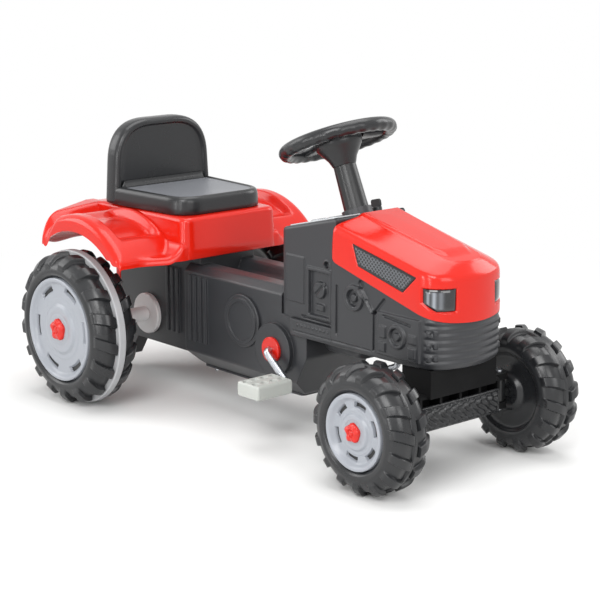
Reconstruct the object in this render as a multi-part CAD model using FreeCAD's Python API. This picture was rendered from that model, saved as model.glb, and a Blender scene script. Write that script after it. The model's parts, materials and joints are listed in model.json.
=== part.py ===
import FreeCAD, Part
import math
import os

Vector = FreeCAD.Vector

# Pedal tractor that a child rides: a hollow moulded hull on four wheels, driven by a chain.
# Millimetres. +X is forward, +Y the rider's left, +Z up; the ground is z = 0.
# A reach is measured forward from the rear axle, a height from the ground,
# and a half width from the middle plane.

# stance
wheelbase = 678.0
tail_reach = 174.0
rear_span = 500.0
front_span = 398.0

# fits
run_clearance = 0.05
play = 0.3
overrun = 6.0
corner_room_share = 0.49
same_point = 1e-6

# rear wheels
rear_radius = 132.0
rear_width = 84.0
rear_rim_radius = 89.0
rear_lug_height = 8.0
rear_lug_thickness = 13.0
rear_lug_count = 17
rear_shoulder = 16.0
rear_band_width = 14.0
rear_band_proud = 2.0
rear_band_sink = 1.5
rear_cap_radius = 19.0
rear_cap_proud = 5.0

# front wheels
front_radius = 98.0
front_width = 73.0
front_rim_radius = 58.0
front_lug_height = 7.0
front_lug_thickness = 11.0
front_lug_count = 15
front_shoulder = 14.0
front_rib_width = 5.0
front_cap_radius = 15.0
front_cap_proud = 4.0

# what both wheels share
tyre_wall = 3.5
tyre_round = 5.0
lug_skew_degrees = 24.0
hub_radius = 24.0
hub_dish = 7.0
rim_lip = 6.0
disc_seat = 13.0
disc_dish = 8.0
disc_lip = 7.0
disc_slope = 5.0
disc_boss_share = 0.42
disc_boss_drop = 3.0
disc_hole_radius = 13.0
disc_slot_count = 6
disc_slot_share = 0.70
disc_slot_length_share = 0.34
disc_slot_width = 7.0

# rear axle, crank and chain
axle_radius = 6.0
axle_nut_radius = 11.0
axle_nut_thickness = 6.0
axle_end = 2.0
bush_flange_radius = 36.0
bush_flange_thickness = 8.0
bush_stem_radius = 14.0
bush_stem_length = 8.0
spacer_radius = 13.0
crank_setback = 14.3
crank_height = 139.0
crank_throw = 66.0
crank_lean_degrees = 38.0
crank_rod_radius = 6.0
crank_bend = 8.5
crank_arm_half = 94.0
crank_bush_radius = 21.0
crank_bush_thickness = 5.0
crank_bush_stem_radius = 13.0
crank_bush_stem_length = 9.0
chain_pitch = 12.7
crank_teeth = 20
axle_teeth = 14
chain_half = 26.0
chain_roller_radius = 3.9
chain_roller_length = 6.0
chain_plate_thickness = 1.4
chain_plate_height = 9.0
sprocket_thickness = 5.0
sprocket_hub_radius = 13.0
sprocket_hub_length = 16.0
tooth_gap = 0.5
tooth_height_share = 0.20

# pedals
pedal_length = 72.0
pedal_width = 52.0
pedal_thickness = 24.0
pedal_round = 5.0
pedal_gap = 0.5
pedal_closed_end = 8.0
pedal_groove_count = 4
pedal_groove_width = 5.0
pedal_groove_depth = 3.0
pedal_groove_length_share = 0.62

# hull
hull_wall = 4.0
hull_half = 72.0
hull_tail_half = 58.0
hull_tail_reach = -82.0
hull_waist_reach = 128.0
hull_pedestal_reach = 150.0
hull_saddle_reach = 164.0
hull_step_length = 26.0
hull_nose_length = 34.0
hull_chin_setback = 40.0
hull_belly_height = 62.0
hull_side_foot_height = 92.0
hull_tail_foot_height = 84.0
hull_belly_half = 36.0
hull_saddle_height = 242.0
hull_nose_height = 136.0
hull_round = 14.0
saddle_shoulder = 12.0
saddle_channel_half = 24.0
saddle_channel_depth = 18.0
saddle_channel_slope = 8.0
boss_radius = 43.0
boss_half = 80.0
rib_count = 4
rib_pitch = 14.0
rib_width = 6.0
rib_proud = 4.0
rib_first_reach = 138.0
rib_foot_height = 112.0
rib_top_height = 226.0
tail_rib_first_reach = 56.0
tail_rib_count = 3
belly_cover_thickness = 4.0
belly_cover_round = 8.0
belly_opening_margin = 10.0
side_cover_setback = 81.7
side_cover_height = 171.0
side_cover_radius = 44.0
side_cover_proud = 5.0
side_cover_rim = 6.0
side_cover_rim_proud = 2.0
tail_knob_radius = 11.0
tail_knob_length = 14.0
tail_knob_height = 262.0

# engine housing and dash console
housing_wall = 3.5
housing_setback = 97.0
housing_floor_height = 172.0
housing_floor = 4.0
housing_inset = 3.0
console_length = 126.0
console_half = 74.0
console_floor_height = 200.0
console_round = 6.0
console_side_round = 12.0
dash_rear_height = 340.0
dash_front_height = 371.0
console_port_half = 26.0
console_port_height = 62.0
console_port_drop = 22.0
console_port_depth = 22.0
console_port_round = 8.0
console_port_frame = 7.0
console_port_proud = 4.0
groove_width = 4.0
groove_depth = 1.8
louvre_count = 8
louvre_height = 5.4
louvre_proud = 2.6
louvre_sweep = 62.0
window_setback = 14.0
window_length = 48.0
window_lift = 12.0
window_height = 76.0
window_frame = 6.0
window_proud = 3.0
window_round = 6.0
pulley_along_share = 0.23364486
pulley_drop = 31.9504132
pulley_radius = 20.0
pulley_proud = 8.0
pulley_bore_share = 0.55
idler_along_share = 0.36448598
idler_drop = 46.0826446
idler_radius = 12.0
block_rear_share = 0.48598131
block_front_share = 0.87850467
block_lift = 14.0
block_drop = 9.1735537
block_proud = 5.0
fan_radius = 19.0
fan_proud = 4.0
belt_width = 7.0
belt_proud = 5.0
pan_setback = 60.0
pan_length = 94.0
pan_depth = 24.0
pan_half = 46.0
pan_round = 10.0

# bonnet
bonnet_wall = 3.5
bonnet_rear_reach = 502.0
bonnet_rear_half = 85.0
bonnet_corner_reach = 716.0
bonnet_corner_half = 79.0
nose_reach = 744.0
nose_round = 26.0
nose_tip_round = 160.0
bonnet_rear_foot = 308.0
bonnet_front_foot = 240.0
bonnet_rear_crease = 362.0
bonnet_front_crease = 307.0
bonnet_rear_crown = 380.0
bonnet_front_crown = 322.0
crown_rear_half = 48.0
crown_front_half = 44.0
crease_round = 12.0
nose_crown_round = 44.0
panel_rear_margin = 10.0
panel_front_margin = 48.0
panel_rear_half = 40.0
panel_front_half = 33.0
panel_proud = 4.0
panel_round = 4.0
grille_rear_share = 0.22
grille_front_share = 0.84
grille_foot_rear_share = 0.28
grille_foot_front_share = 0.72
grille_top_share = 0.86
grille_foot_share = 0.30
grille_round = 4.0
grille_slat_count = 9
grille_slat_width = 2.0
grille_slat_depth = 1.4
lamp_sweep = 26.0
lamp_inner_half = 40.0
lamp_lift = 16.0
lamp_height = 36.0
lamp_round = 6.0
seam = 0.2

# steering
column_setback = 26.6472572
steering_rise = 105.0
steering_radius = 95.0
steering_grip = 10.0
steering_hub_radius = 34.0
steering_hub_height = 24.0
steering_hub_foot_radius = 19.0
steering_hub_drop = 30.0
spoke_width = 26.0
spoke_thickness = 11.0
spoke_angles = (0.0, 105.0, 255.0)
shaft_radius = 5.0
shaft_grip = 22.0
sleeve_top_radius = 18.0
sleeve_foot_radius = 20.0
sleeve_wall = 3.0
sleeve_sink = 8.0
collar_radius = 24.0
collar_height = 9.0
bearing_radius = 11.0
bearing_length = 30.0
drop_arm = 54.0
drop_bend = 9.0
drop_pin = 17.0
drop_pin_rise = 15.0
drop_pin_height = 106.0
drop_slack = 2.4
steering_lock_degrees = 58.0
wheel_lock_degrees = 18.35
horn_length = 56.0
horn_width = 34.0
horn_height = 9.0
horn_travel = 3.0
horn_skirt = 6.0
horn_spring_radius = 5.0
horn_spring_wire = 0.6
horn_spring_turns = 5
key_setback = 32.0
key_half = 47.0
key_barrel_radius = 8.0
key_barrel_height = 7.0
key_stem_radius = 3.0
key_stem_length = 8.0
key_bow_length = 20.0
key_bow_height = 13.0
key_bow_thickness = 4.0
dash_plate_thickness = 1.6
dash_plate_margin = 7.0
dial_radius = 13.0
dial_proud = 1.2
dial_places_shares = ((0.34, -0.52), (0.34, 0.0), (0.34, 0.52))

# front axle
beam_half_depth = 24.0
beam_foot_height = 78.0
beam_top_height = 134.0
beam_half = 86.0
beam_round = 6.0
beam_wall = 5.0
beam_web_count = 3
beam_post_half = 70.0
beam_post_half_depth = 30.0
kingpin_half = 108.0
kingpin_radius = 4.0
kingpin_head_radius = 8.0
kingpin_head = 4.0
ear_radius = 14.0
ear_thickness = 10.0
knuckle_radius = 11.0
knuckle_boss_radius = 9.0
knuckle_gap = 1.2
stub_radius = 5.0
stub_start = 6.0
stub_head_radius = 9.0
stub_head_thickness = 4.0
arm_length = 151.6077784
arm_width = 14.0
arm_thickness = 8.0
arm_pin_radius = 4.0
tie_width = 18.0
tie_thickness = 6.0
tie_eye_radius = 10.0
tie_slot_wall = 8.0

# rear deck and mudguards
deck_wall = 3.5
deck_front_reach = 166.0
deck_rear_reach = -128.0
deck_half = 104.0
deck_top_height = 326.0
deck_foot_height = 256.0
deck_rear_foot_height = 292.0
deck_round = 22.0
deck_side_round = 10.0
guard_centre_reach = 8.0
guard_centre_height = 160.0
guard_radius = 165.0
guard_half = 217.0
guard_front_reach = 140.0
guard_rear_reach = -104.0
guard_dip = 14.0
guard_lip_depth = 20.0
guard_lip_width = 9.0
pod_front_reach = -56.0
pod_outer_rear_reach = -90.0
pod_foot_height = 264.0
pod_outer_height = 306.0
pod_round = 5.0
tail_lamp_half = 178.0
tail_lamp_height = 290.0
tail_lamp_radius = 16.0
tail_lamp_sink = 2.0
tail_lamp_proud = 6.0
tail_lamp_round = 3.0

# seat
seat_wall = 3.5
seat_front_reach = 146.0
seat_rear_reach = -60.0
seat_front_half = 92.0
seat_rear_half = 108.0
seat_height = 357.0
seat_round = 30.0
seat_edge_round = 7.0
back_front_reach = -26.0
back_shoulder_half = 98.0
back_shoulder_height = 428.0
back_crown_half = 62.0
back_crown_height = 471.0
back_round = 48.0
rail_half = 52.0
rail_width = 14.0
rail_height = 14.0
rail_rear_reach = -20.0
rail_front_reach = 112.0
rail_stop = 6.0
guide_thickness = 5.0
seat_travel = 32.0

# hitch
hitch_half = 36.0
hitch_front_reach = -82.0
hitch_rear_reach = -136.0
hitch_foot_height = 84.0
hitch_top_height = 152.0
hitch_round = 6.0
hitch_pin_reach = -160.0
hitch_pin_radius = 6.0
hitch_ear_radius = 14.0
hitch_ear_thickness = 9.0
hitch_upper_ear_height = 128.0
hitch_lower_ear_height = 86.0
hitch_tongue_half = 13.0
hitch_tongue_thickness = 20.0
hitch_tongue_tip_reach = -142.0
hitch_tongue_tip_height = 24.0
pin_foot_height = 54.0
pin_top_height = 187.0
pin_collar_radius = 10.0
pin_collar_thickness = 5.0
pin_head_radius = 11.0
pin_head_length = 34.0

# screws
screw_head_radius = 4.5
screw_head_height = 2.5
screw_radius = 2.0
screw_margin = 22.0
screw_rows = 3

# the console, the hull's front, the crank and the steering are placed from the bonnet's rear end
console_rear_reach = bonnet_rear_reach - console_length
housing_rear_reach = bonnet_rear_reach - housing_setback
window_front_reach = bonnet_rear_reach - window_setback
window_rear_reach = window_front_reach - window_length
pan_rear_reach = bonnet_rear_reach - pan_setback
pan_front_reach = pan_rear_reach + pan_length
panel_rear_reach = bonnet_rear_reach + panel_rear_margin
panel_front_reach = bonnet_corner_reach - panel_front_margin
lamp_rear_reach = bonnet_corner_reach - lamp_sweep
column_reach = bonnet_rear_reach - column_setback
key_reach = bonnet_rear_reach - key_setback
hull_step_reach = console_rear_reach + hull_step_length
hull_nose_reach = hull_step_reach + hull_nose_length
hull_chin_reach = hull_nose_reach - hull_chin_setback
crank_reach = console_rear_reach - crank_setback
side_cover_reach = crank_reach - side_cover_setback

# the moulded engine lies along the bonnet's side and under its foot line
bonnet_side_length = bonnet_corner_reach - bonnet_rear_reach
pulley_reach = bonnet_rear_reach + pulley_along_share * bonnet_side_length
idler_reach = bonnet_rear_reach + idler_along_share * bonnet_side_length
block_rear_reach = bonnet_rear_reach + block_rear_share * bonnet_side_length
block_front_reach = bonnet_rear_reach + block_front_share * bonnet_side_length


def bonnet_line(rear, front, reach):
    share = (reach - bonnet_rear_reach) / (nose_reach - bonnet_rear_reach)
    return rear + share * (front - rear)


def foot_line(reach):
    return bonnet_line(bonnet_rear_foot, bonnet_front_foot, reach)


pulley_height = foot_line(pulley_reach) - pulley_drop
idler_height = foot_line(idler_reach) - idler_drop
block_top_height = foot_line(block_front_reach) - block_drop
block_foot_height = housing_floor_height + block_lift
pan_foot_height = housing_floor_height - pan_depth
lamp_foot_height = bonnet_front_foot + lamp_lift
lamp_top_height = lamp_foot_height + lamp_height
window_foot_height = console_floor_height + window_lift
window_top_height = window_foot_height + window_height
console_port_top = dash_rear_height - console_port_drop
console_port_foot = console_port_top - console_port_height
steering_height = dash_front_height + steering_rise

half_length = (tail_reach + wheelbase + front_radius) / 2
rear_x = tail_reach - half_length
front_x = rear_x + wheelbase
rear_centre = Vector(rear_x, 0, rear_radius)
front_centre = Vector(front_x, 0, front_radius)
crank_centre = Vector(rear_x + crank_reach, 0, crank_height)
across = Vector(0, 1, 0)
upward = Vector(0, 0, 1)
forward = Vector(1, 0, 0)
middle = Vector(0, 0, 0)


def x_at(reach):
    return rear_x + reach


def on_xz(y):
    return lambda a, b: Vector(a, y, b)


def on_xy(z):
    return lambda a, b: Vector(a, b, z)


def on_yz(x):
    return lambda a, b: Vector(x, a, b)


def rounded(points, radius, closed=True):
    # straight runs with their corners rounded, each arc no larger than its two runs allow
    count = len(points)
    radii = radius if isinstance(radius, (list, tuple)) else [radius] * count
    stops = []
    for k, corner in enumerate(points):
        if radii[k] == 0 or (not closed and k in (0, count - 1)):
            stops.append((corner, None, corner))
            continue
        back = points[k - 1] - corner
        ahead = points[(k + 1) % count] - corner
        room = corner_room_share * min(back.Length, ahead.Length)
        half = back.getAngle(ahead) / 2
        reach = min(radii[k] / math.tan(half), room)
        arc = reach * math.tan(half)
        back.normalize()
        ahead.normalize()
        inward = (back + ahead).normalize()
        bend = corner + inward * (arc / math.sin(half) - arc)
        stops.append((corner + back * reach, bend, corner + ahead * reach))
    edges = []
    for k, (start, bend, end) in enumerate(stops):
        if bend is not None:
            edges.append(Part.Arc(start, bend, end).toShape())
        if closed or k + 1 < count:
            following = stops[(k + 1) % count][0]
            if (following - end).Length > same_point:
                edges.append(Part.LineSegment(end, following).toShape())
    return Part.Wire(edges)


def prism(points, radius, place, depth, inset=0):
    wire = rounded([place(*p) for p in points], radius)
    if inset:
        wire = wire.makeOffset2D(-inset)
    return Part.Face(wire).extrude(depth)


def sideways(points, radius, half, inset=0):
    # an outline seen from the side, carried across the machine
    return prism(points, radius, on_xz(-half), across * (2 * half), inset)


def upright(points, radius, foot, top, inset=0):
    # an outline seen from above, carried up
    return prism(points, radius, on_xy(foot), upward * (top - foot), inset)


def block(x0, x1, y0, y1, z0, z1):
    return Part.makeBox(x1 - x0, y1 - y0, z1 - z0, Vector(x0, y0, z0))


def rod(start, end, radius):
    line = end - start
    return Part.makeCylinder(radius, line.Length, start, line)


def ring(points, radius, centre, inset=0):
    # an outline of (radius, across) points turned round a wheel's axis
    wire = rounded([Vector(centre.x + r, y, centre.z) for r, y in points], radius)
    if inset:
        wire = wire.makeOffset2D(-inset)
    return Part.Face(wire).revolve(Vector(centre.x, 0, centre.z), across, 360)


def bent_rod(points, bend, radius):
    path = rounded(points, bend, closed=False)
    tangent = points[1] - points[0]
    section = Part.Wire(Part.makeCircle(radius, points[0], tangent))
    return path.makePipeShell([section], True, True)


def mirrored(shape):
    return shape.mirror(middle, across)


def pair(shape):
    return Part.makeCompound([shape, mirrored(shape)])


def joined(first, *others):
    return first.multiFuse(list(others)).removeSplitter()


def dash_at(x):
    # height of the dash top, which rises towards the bonnet
    share = (x - x_at(console_rear_reach)) / (bonnet_rear_reach - console_rear_reach)
    return dash_rear_height + share * (dash_front_height - dash_rear_height)


# the steering column leans so that it passes the dash at its place, and so that the pin of its
# drop arm stands at the end of the knuckle arms
column_seat = Vector(x_at(column_reach), 0, dash_at(x_at(column_reach)))
pin_ahead = front_x - arm_length - column_seat.x
pin_below = column_seat.z - drop_pin_height
tilt = math.atan2(pin_ahead, pin_below) + math.asin(drop_arm / math.hypot(pin_ahead, pin_below))

# steering column frame: its own Z is the column, its X points forward in the wheel's plane
column = Vector(-math.sin(tilt), 0, math.cos(tilt))
wheel_forward = Vector(math.cos(tilt), 0, math.sin(tilt))
steering_centre = column_seat + column * ((steering_height - column_seat.z) / math.cos(tilt))


def on_column(shape):
    moved = shape.copy()
    turn = FreeCAD.Rotation(across, -math.degrees(tilt))
    moved.Placement = FreeCAD.Placement(steering_centre, turn).multiply(moved.Placement)
    return moved


def column_meets_dash():
    slope = (dash_front_height - dash_rear_height) / (bonnet_rear_reach - console_rear_reach)
    down = (steering_height - dash_at(steering_centre.x)) / (math.cos(tilt) + slope * math.sin(tilt))
    return down


# wheels


def tyre_outline(radius, width, outer, rim, shoulder, bore):
    inner = outer - width
    return [
        (bore, inner),
        (hub_radius, inner),
        (hub_radius + hub_dish, inner + hub_dish),
        (rim, inner + hub_dish),
        (rim + rim_lip, inner),
        (radius - shoulder, inner),
        (radius, inner + shoulder),
        (radius, outer - shoulder),
        (radius - shoulder, outer),
        (rim + rim_lip, outer),
        (rim, outer - rim_lip),
        (rim, outer - disc_seat),
        (bore, outer - disc_seat),
    ]


def lugs(centre, carcass, top, half_rib, inner, outer, shoulder, thickness, count):
    mid = (inner + outer) / 2
    sink = top - carcass
    lugged = []
    for way, edge, offset in ((1, outer, 0.0), (-1, inner, 0.5)):
        bank = [
            (carcass - sink, mid + way * half_rib),
            (top, mid + way * half_rib),
            (top, edge - way * shoulder),
            (carcass - shoulder + sink, edge),
            (carcass - shoulder - sink, edge),
            (carcass - shoulder - sink, edge - way * sink),
            (carcass - sink, edge - way * shoulder),
        ]
        bars = []
        for k in range(count):
            bar = block(
                centre.x - thickness / 2, centre.x + thickness / 2,
                inner - overrun, outer + overrun,
                centre.z + carcass - shoulder - 2 * sink, centre.z + top + overrun,
            )
            pivot = Vector(centre.x, mid + way * (outer - mid) / 2, centre.z)
            bar.rotate(pivot, upward, way * lug_skew_degrees)
            bar.rotate(Vector(centre.x, 0, centre.z), across, 360 * (k + offset) / count)
            bars.append(bar)
        lugged.append(ring(bank, 0, centre).common(Part.makeCompound(bars)))
    return lugged


def tyre(centre, carcass, top, width, outer, rim, shoulder, bore, half_rib, thickness, count):
    outline = tyre_outline(carcass, width, outer, rim, shoulder, bore)
    shell = ring(outline, [0, 0] + [tyre_round] * (len(outline) - 4) + [0, 0], centre)
    void = ring(outline, 0, centre, tyre_wall)
    bars = lugs(centre, carcass, top, half_rib, outer - width, outer, shoulder, thickness, count)
    solids = [s for bar in bars for s in bar.Solids]
    return shell.multiFuse(solids).cut(void)


def wheel_disc(centre, rim, outer):
    # pressed wheel disc: a bright lip, a dished web with slots, and a raised middle
    edge = rim - play
    boss = rim * disc_boss_share
    floor = outer - disc_dish
    outline = [
        (disc_hole_radius, outer - disc_seat),
        (edge, outer - disc_seat),
        (edge, outer),
        (edge - disc_lip, outer),
        (edge - disc_lip - disc_slope, floor),
        (boss + disc_slope, floor),
        (boss, outer - disc_boss_drop),
        (disc_hole_radius, outer - disc_boss_drop),
    ]
    body = ring(outline, [0, 0, 2 * play] + [disc_slope / 2] * 4 + [0], centre)
    slots = []
    half = rim * disc_slot_length_share / 2
    wide = disc_slot_width / 2
    for k in range(disc_slot_count):
        reach = centre.z + rim * disc_slot_share
        corners = [
            (centre.x - half, reach - wide),
            (centre.x + half, reach - wide),
            (centre.x + half, reach + wide),
            (centre.x - half, reach + wide),
        ]
        slot = prism(corners, wide, on_xz(outer - disc_seat - overrun), across * (disc_seat + 2 * overrun))
        slot.rotate(Vector(centre.x, 0, centre.z), across, 360 * (k + 0.5) / disc_slot_count)
        slots.append(slot)
    return body.cut(Part.makeCompound(slots))


def wheel_cap(centre, radius, outer, proud):
    foot = outer - disc_boss_drop
    outline = [
        (0, foot),
        (radius, foot),
        (radius, outer + proud / 2),
        (radius * disc_slot_share, outer + proud),
        (0, outer + proud),
    ]
    return ring(outline, [0, 0, proud / 4, proud / 4, 0], centre)


rear_outer = rear_span / 2
rear_inner = rear_outer - rear_width
rear_middle = (rear_outer + rear_inner) / 2
rear_lug_top = rear_radius - rear_band_proud
rear_carcass = rear_lug_top - rear_lug_height
front_outer = front_span / 2
front_inner = front_outer - front_width
front_middle = (front_outer + front_inner) / 2
front_carcass = front_radius - front_lug_height


def rear_tyre(bore):
    body = tyre(
        rear_centre, rear_carcass, rear_lug_top, rear_width, rear_outer, rear_rim_radius, rear_shoulder,
        bore, rear_band_width / 2, rear_lug_thickness, rear_lug_count,
    )
    return body.cut(rear_band(rear_radius + overrun))


def rear_band(radius):
    half = rear_band_width / 2
    seat = rear_carcass - rear_band_sink
    outline = [
        (seat, rear_middle - half),
        (radius, rear_middle - half),
        (radius, rear_middle + half),
        (seat, rear_middle + half),
    ]
    return ring(outline, [0, rear_band_proud, rear_band_proud, 0], rear_centre)


def front_tyre():
    body = tyre(
        front_centre, front_carcass, front_radius, front_width, front_outer, front_rim_radius, front_shoulder,
        stub_radius + run_clearance, front_rib_width, front_lug_thickness, front_lug_count,
    )
    rib = [
        (front_carcass - play, front_middle - front_rib_width),
        (front_radius - front_lug_height / 2, front_middle - front_rib_width / 2),
        (front_radius - front_lug_height / 2, front_middle + front_rib_width / 2),
        (front_carcass - play, front_middle + front_rib_width),
    ]
    return body.fuse(ring(rib, 0, front_centre))


# drive


def rear_axle():
    end = rear_outer - disc_boss_drop - axle_end
    return rod(rear_centre - across * end, rear_centre + across * end, axle_radius)


def axle_nuts():
    start = rear_outer - disc_seat + play
    nut = rod(
        rear_centre + across * start, rear_centre + across * (start + axle_nut_thickness), axle_nut_radius
    )
    bore = rod(rear_centre, rear_centre + across * rear_outer, axle_radius)
    return pair(nut.cut(bore))


def axle_spacers():
    start = hull_tail_half + bush_flange_thickness + play
    body = rod(rear_centre + across * start, rear_centre + across * (rear_inner - play), spacer_radius)
    bore = rod(rear_centre, rear_centre + across * rear_outer, axle_radius + run_clearance)
    return pair(body.cut(bore))


def flanged_bush(centre, face, flange, thickness, stem, length, bore):
    collar = rod(centre + across * face, centre + across * (face + thickness), flange)
    collar = collar.makeFillet(thickness / 3, [collar.Edges[0]])
    shank = rod(centre + across * (face - length), centre + across * face, stem)
    hole = rod(centre, centre + across * (face + thickness + overrun), bore)
    return collar.fuse(shank).removeSplitter().cut(hole)


def rear_axle_bushes():
    return pair(flanged_bush(
        rear_centre, hull_tail_half, bush_flange_radius, bush_flange_thickness,
        bush_stem_radius, bush_stem_length, axle_radius + run_clearance,
    ))


def crank_bushes():
    return pair(flanged_bush(
        crank_centre, boss_half, crank_bush_radius, crank_bush_thickness,
        crank_bush_stem_radius, crank_bush_stem_length, crank_rod_radius + run_clearance,
    ))


lean = math.radians(crank_lean_degrees)
throw = Vector(math.cos(lean), 0, -math.sin(lean)) * crank_throw
pedal_start = crank_arm_half + crank_bend + pedal_gap
pedal_pin_end = pedal_start + pedal_length - pedal_closed_end - play


def pedal_crank():
    return bent_rod(
        [
            crank_centre - throw + across * pedal_pin_end,
            crank_centre - throw + across * crank_arm_half,
            crank_centre + across * crank_arm_half,
            crank_centre - across * crank_arm_half,
            crank_centre + throw - across * crank_arm_half,
            crank_centre + throw - across * pedal_pin_end,
        ],
        crank_bend, crank_rod_radius,
    )


def pedal(side):
    # a block with a gripping top, turning on the crank's pin; side is 1 for left and -1 for right
    centre = crank_centre - throw * side
    low = centre.z - pedal_thickness / 2
    high = centre.z + pedal_thickness / 2
    corners = [
        (centre.x - pedal_width / 2, low),
        (centre.x + pedal_width / 2, low),
        (centre.x + pedal_width / 2, high),
        (centre.x - pedal_width / 2, high),
    ]
    body = prism(corners, pedal_round, on_xz(pedal_start), across * pedal_length)
    body = body.makeFillet(pedal_round / 2, [e for f in (body.Faces[-1], body.Faces[-2]) for e in f.Edges])
    cuts = [rod(
        Vector(centre.x, pedal_start - overrun, centre.z),
        Vector(centre.x, pedal_start + pedal_length - pedal_closed_end, centre.z),
        crank_rod_radius + run_clearance,
    )]
    step = pedal_length / pedal_groove_count
    half = pedal_width * pedal_groove_length_share / 2
    for k in range(pedal_groove_count):
        y = pedal_start + step * (k + 0.5)
        for floor, roof in (
            (high - pedal_groove_depth, high + overrun), (low - overrun, low + pedal_groove_depth),
        ):
            cuts.append(block(
                centre.x - half, centre.x + half,
                y - pedal_groove_width / 2, y + pedal_groove_width / 2, floor, roof,
            ))
    body = body.cut(Part.makeCompound(cuts))
    return body if side > 0 else mirrored(body)


def pitch_radius(teeth):
    return chain_pitch / (2 * math.sin(math.pi / teeth))


def chain_stops():
    # middles of the chain's rollers: in the tooth gaps round both sprockets, evenly along the spans
    large = pitch_radius(crank_teeth)
    small = pitch_radius(axle_teeth)
    line = crank_centre - rear_centre
    base = math.atan2(line.z, line.x)
    flare = math.asin((large - small) / line.Length)
    places = []
    for centre, radius, teeth, mid, wrap in (
        (crank_centre, large, crank_teeth, base, math.pi + 2 * flare),
        (rear_centre, small, axle_teeth, base + math.pi, math.pi - 2 * flare),
    ):
        count = int(wrap / (2 * math.pi / teeth)) + 1
        span = [mid + (k - (count - 1) / 2) * 2 * math.pi / teeth for k in range(count)]
        places.append([centre + Vector(math.cos(a), 0, math.sin(a)) * radius for a in span])
    stops = []
    for here, there in ((0, 1), (1, 0)):
        stops += places[here]
        start = places[here][-1]
        reach = places[there][0] - start
        steps = max(1, round(reach.Length / chain_pitch))
        stops += [start + reach * (k / steps) for k in range(1, steps)]
    return stops, base


def drive_chain():
    stops, _ = chain_stops()
    lift = across * chain_half
    wide = chain_plate_height / 2
    half = chain_roller_length / 2 + chain_plate_thickness
    path = Part.makePolygon([s + lift for s in stops] + [stops[0] + lift])
    loop = Part.Face(path.makeOffset2D(wide)).cut(Part.Face(path.makeOffset2D(-wide)))
    plates = []
    for start in (-half, half - chain_plate_thickness):
        plate = loop.extrude(across * chain_plate_thickness)
        plate.translate(across * start)
        plates += plate.Solids
    rollers = [
        rod(s + lift - across * half, s + lift + across * half, chain_roller_radius) for s in stops
    ]
    return joined(*plates, *rollers)


def sprocket(centre, teeth, mid, gap_first):
    radius = pitch_radius(teeth)
    lift = across * chain_half
    top = radius + chain_pitch * tooth_height_share
    side = across * (sprocket_thickness / 2)
    plate = rod(centre + lift - side, centre + lift + side, top)
    gaps = []
    for k in range(teeth):
        a = mid + (k + gap_first) * 2 * math.pi / teeth
        out = Vector(math.cos(a), 0, math.sin(a))
        seat = chain_roller_radius + tooth_gap
        mouth = chain_pitch / 2 - tooth_gap
        side = out.cross(across)
        foot = centre + out * radius
        lip = centre + out * (top + overrun)
        wedge = Part.makePolygon([
            foot - side * seat + lift, foot + side * seat + lift,
            lip + side * mouth + lift, lip - side * mouth + lift, foot - side * seat + lift,
        ])
        wedge.translate(across * (-sprocket_thickness))
        gaps.append(Part.Face(wedge).extrude(across * (2 * sprocket_thickness)))
        gaps.append(rod(
            foot + lift - across * sprocket_thickness, foot + lift + across * sprocket_thickness, seat
        ))
    hub = rod(
        centre + lift - across * (sprocket_hub_length / 2), centre + lift + across * (sprocket_hub_length / 2),
        sprocket_hub_radius,
    )
    reach = across * sprocket_hub_length
    bore = rod(centre + lift - reach, centre + lift + reach, axle_radius)
    return plate.cut(Part.makeCompound(gaps)).fuse(hub).removeSplitter().cut(bore)


def sprocket_phase(teeth, wrap):
    count = int(wrap / (2 * math.pi / teeth)) + 1
    return (count - 1) / 2 % 1


def sprockets():
    line = crank_centre - rear_centre
    _, base = chain_stops()
    flare = math.asin((pitch_radius(crank_teeth) - pitch_radius(axle_teeth)) / line.Length)
    front = sprocket(crank_centre, crank_teeth, base, sprocket_phase(crank_teeth, math.pi + 2 * flare))
    rear = sprocket(rear_centre, axle_teeth, base + math.pi, sprocket_phase(axle_teeth, math.pi - 2 * flare))
    return front, rear


# hull


def hull_side(tail_half_zone):
    # the side outline, whole or only the tall tail under the seat
    tail = x_at(hull_tail_reach)
    pedestal_top = deck_top_height - deck_wall
    if tail_half_zone:
        return [
            (tail, hull_tail_foot_height),
            (x_at(hull_waist_reach) + hull_wall, hull_tail_foot_height),
            (x_at(hull_pedestal_reach), hull_saddle_height - saddle_channel_depth),
            (x_at(hull_pedestal_reach), pedestal_top),
            (tail, pedestal_top),
        ]
    return [
        (x_at(hull_waist_reach) - hull_wall, hull_tail_foot_height),
        (x_at(hull_waist_reach), hull_belly_height),
        (x_at(hull_chin_reach), hull_belly_height),
        (x_at(hull_nose_reach), hull_nose_height),
        (x_at(hull_nose_reach), housing_floor_height),
        (x_at(hull_step_reach), housing_floor_height),
        (x_at(hull_step_reach), console_floor_height),
        (x_at(console_rear_reach), console_floor_height),
        (x_at(console_rear_reach), hull_saddle_height),
        (x_at(hull_waist_reach) - hull_wall, hull_saddle_height),
    ]


def hull_section(inset):
    half = hull_half - inset
    foot = hull_belly_height + inset
    top = hull_saddle_height - inset
    shoulder = half - saddle_shoulder
    slope = saddle_channel_half + saddle_channel_slope + inset
    right = [
        (hull_belly_half, foot),
        (half, hull_side_foot_height + inset),
        (half, top - saddle_shoulder),
        (shoulder, top),
        (slope, top),
        (saddle_channel_half + inset, top - saddle_channel_depth),
    ]
    return right + [(-y, z) for y, z in reversed(right)]


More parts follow.
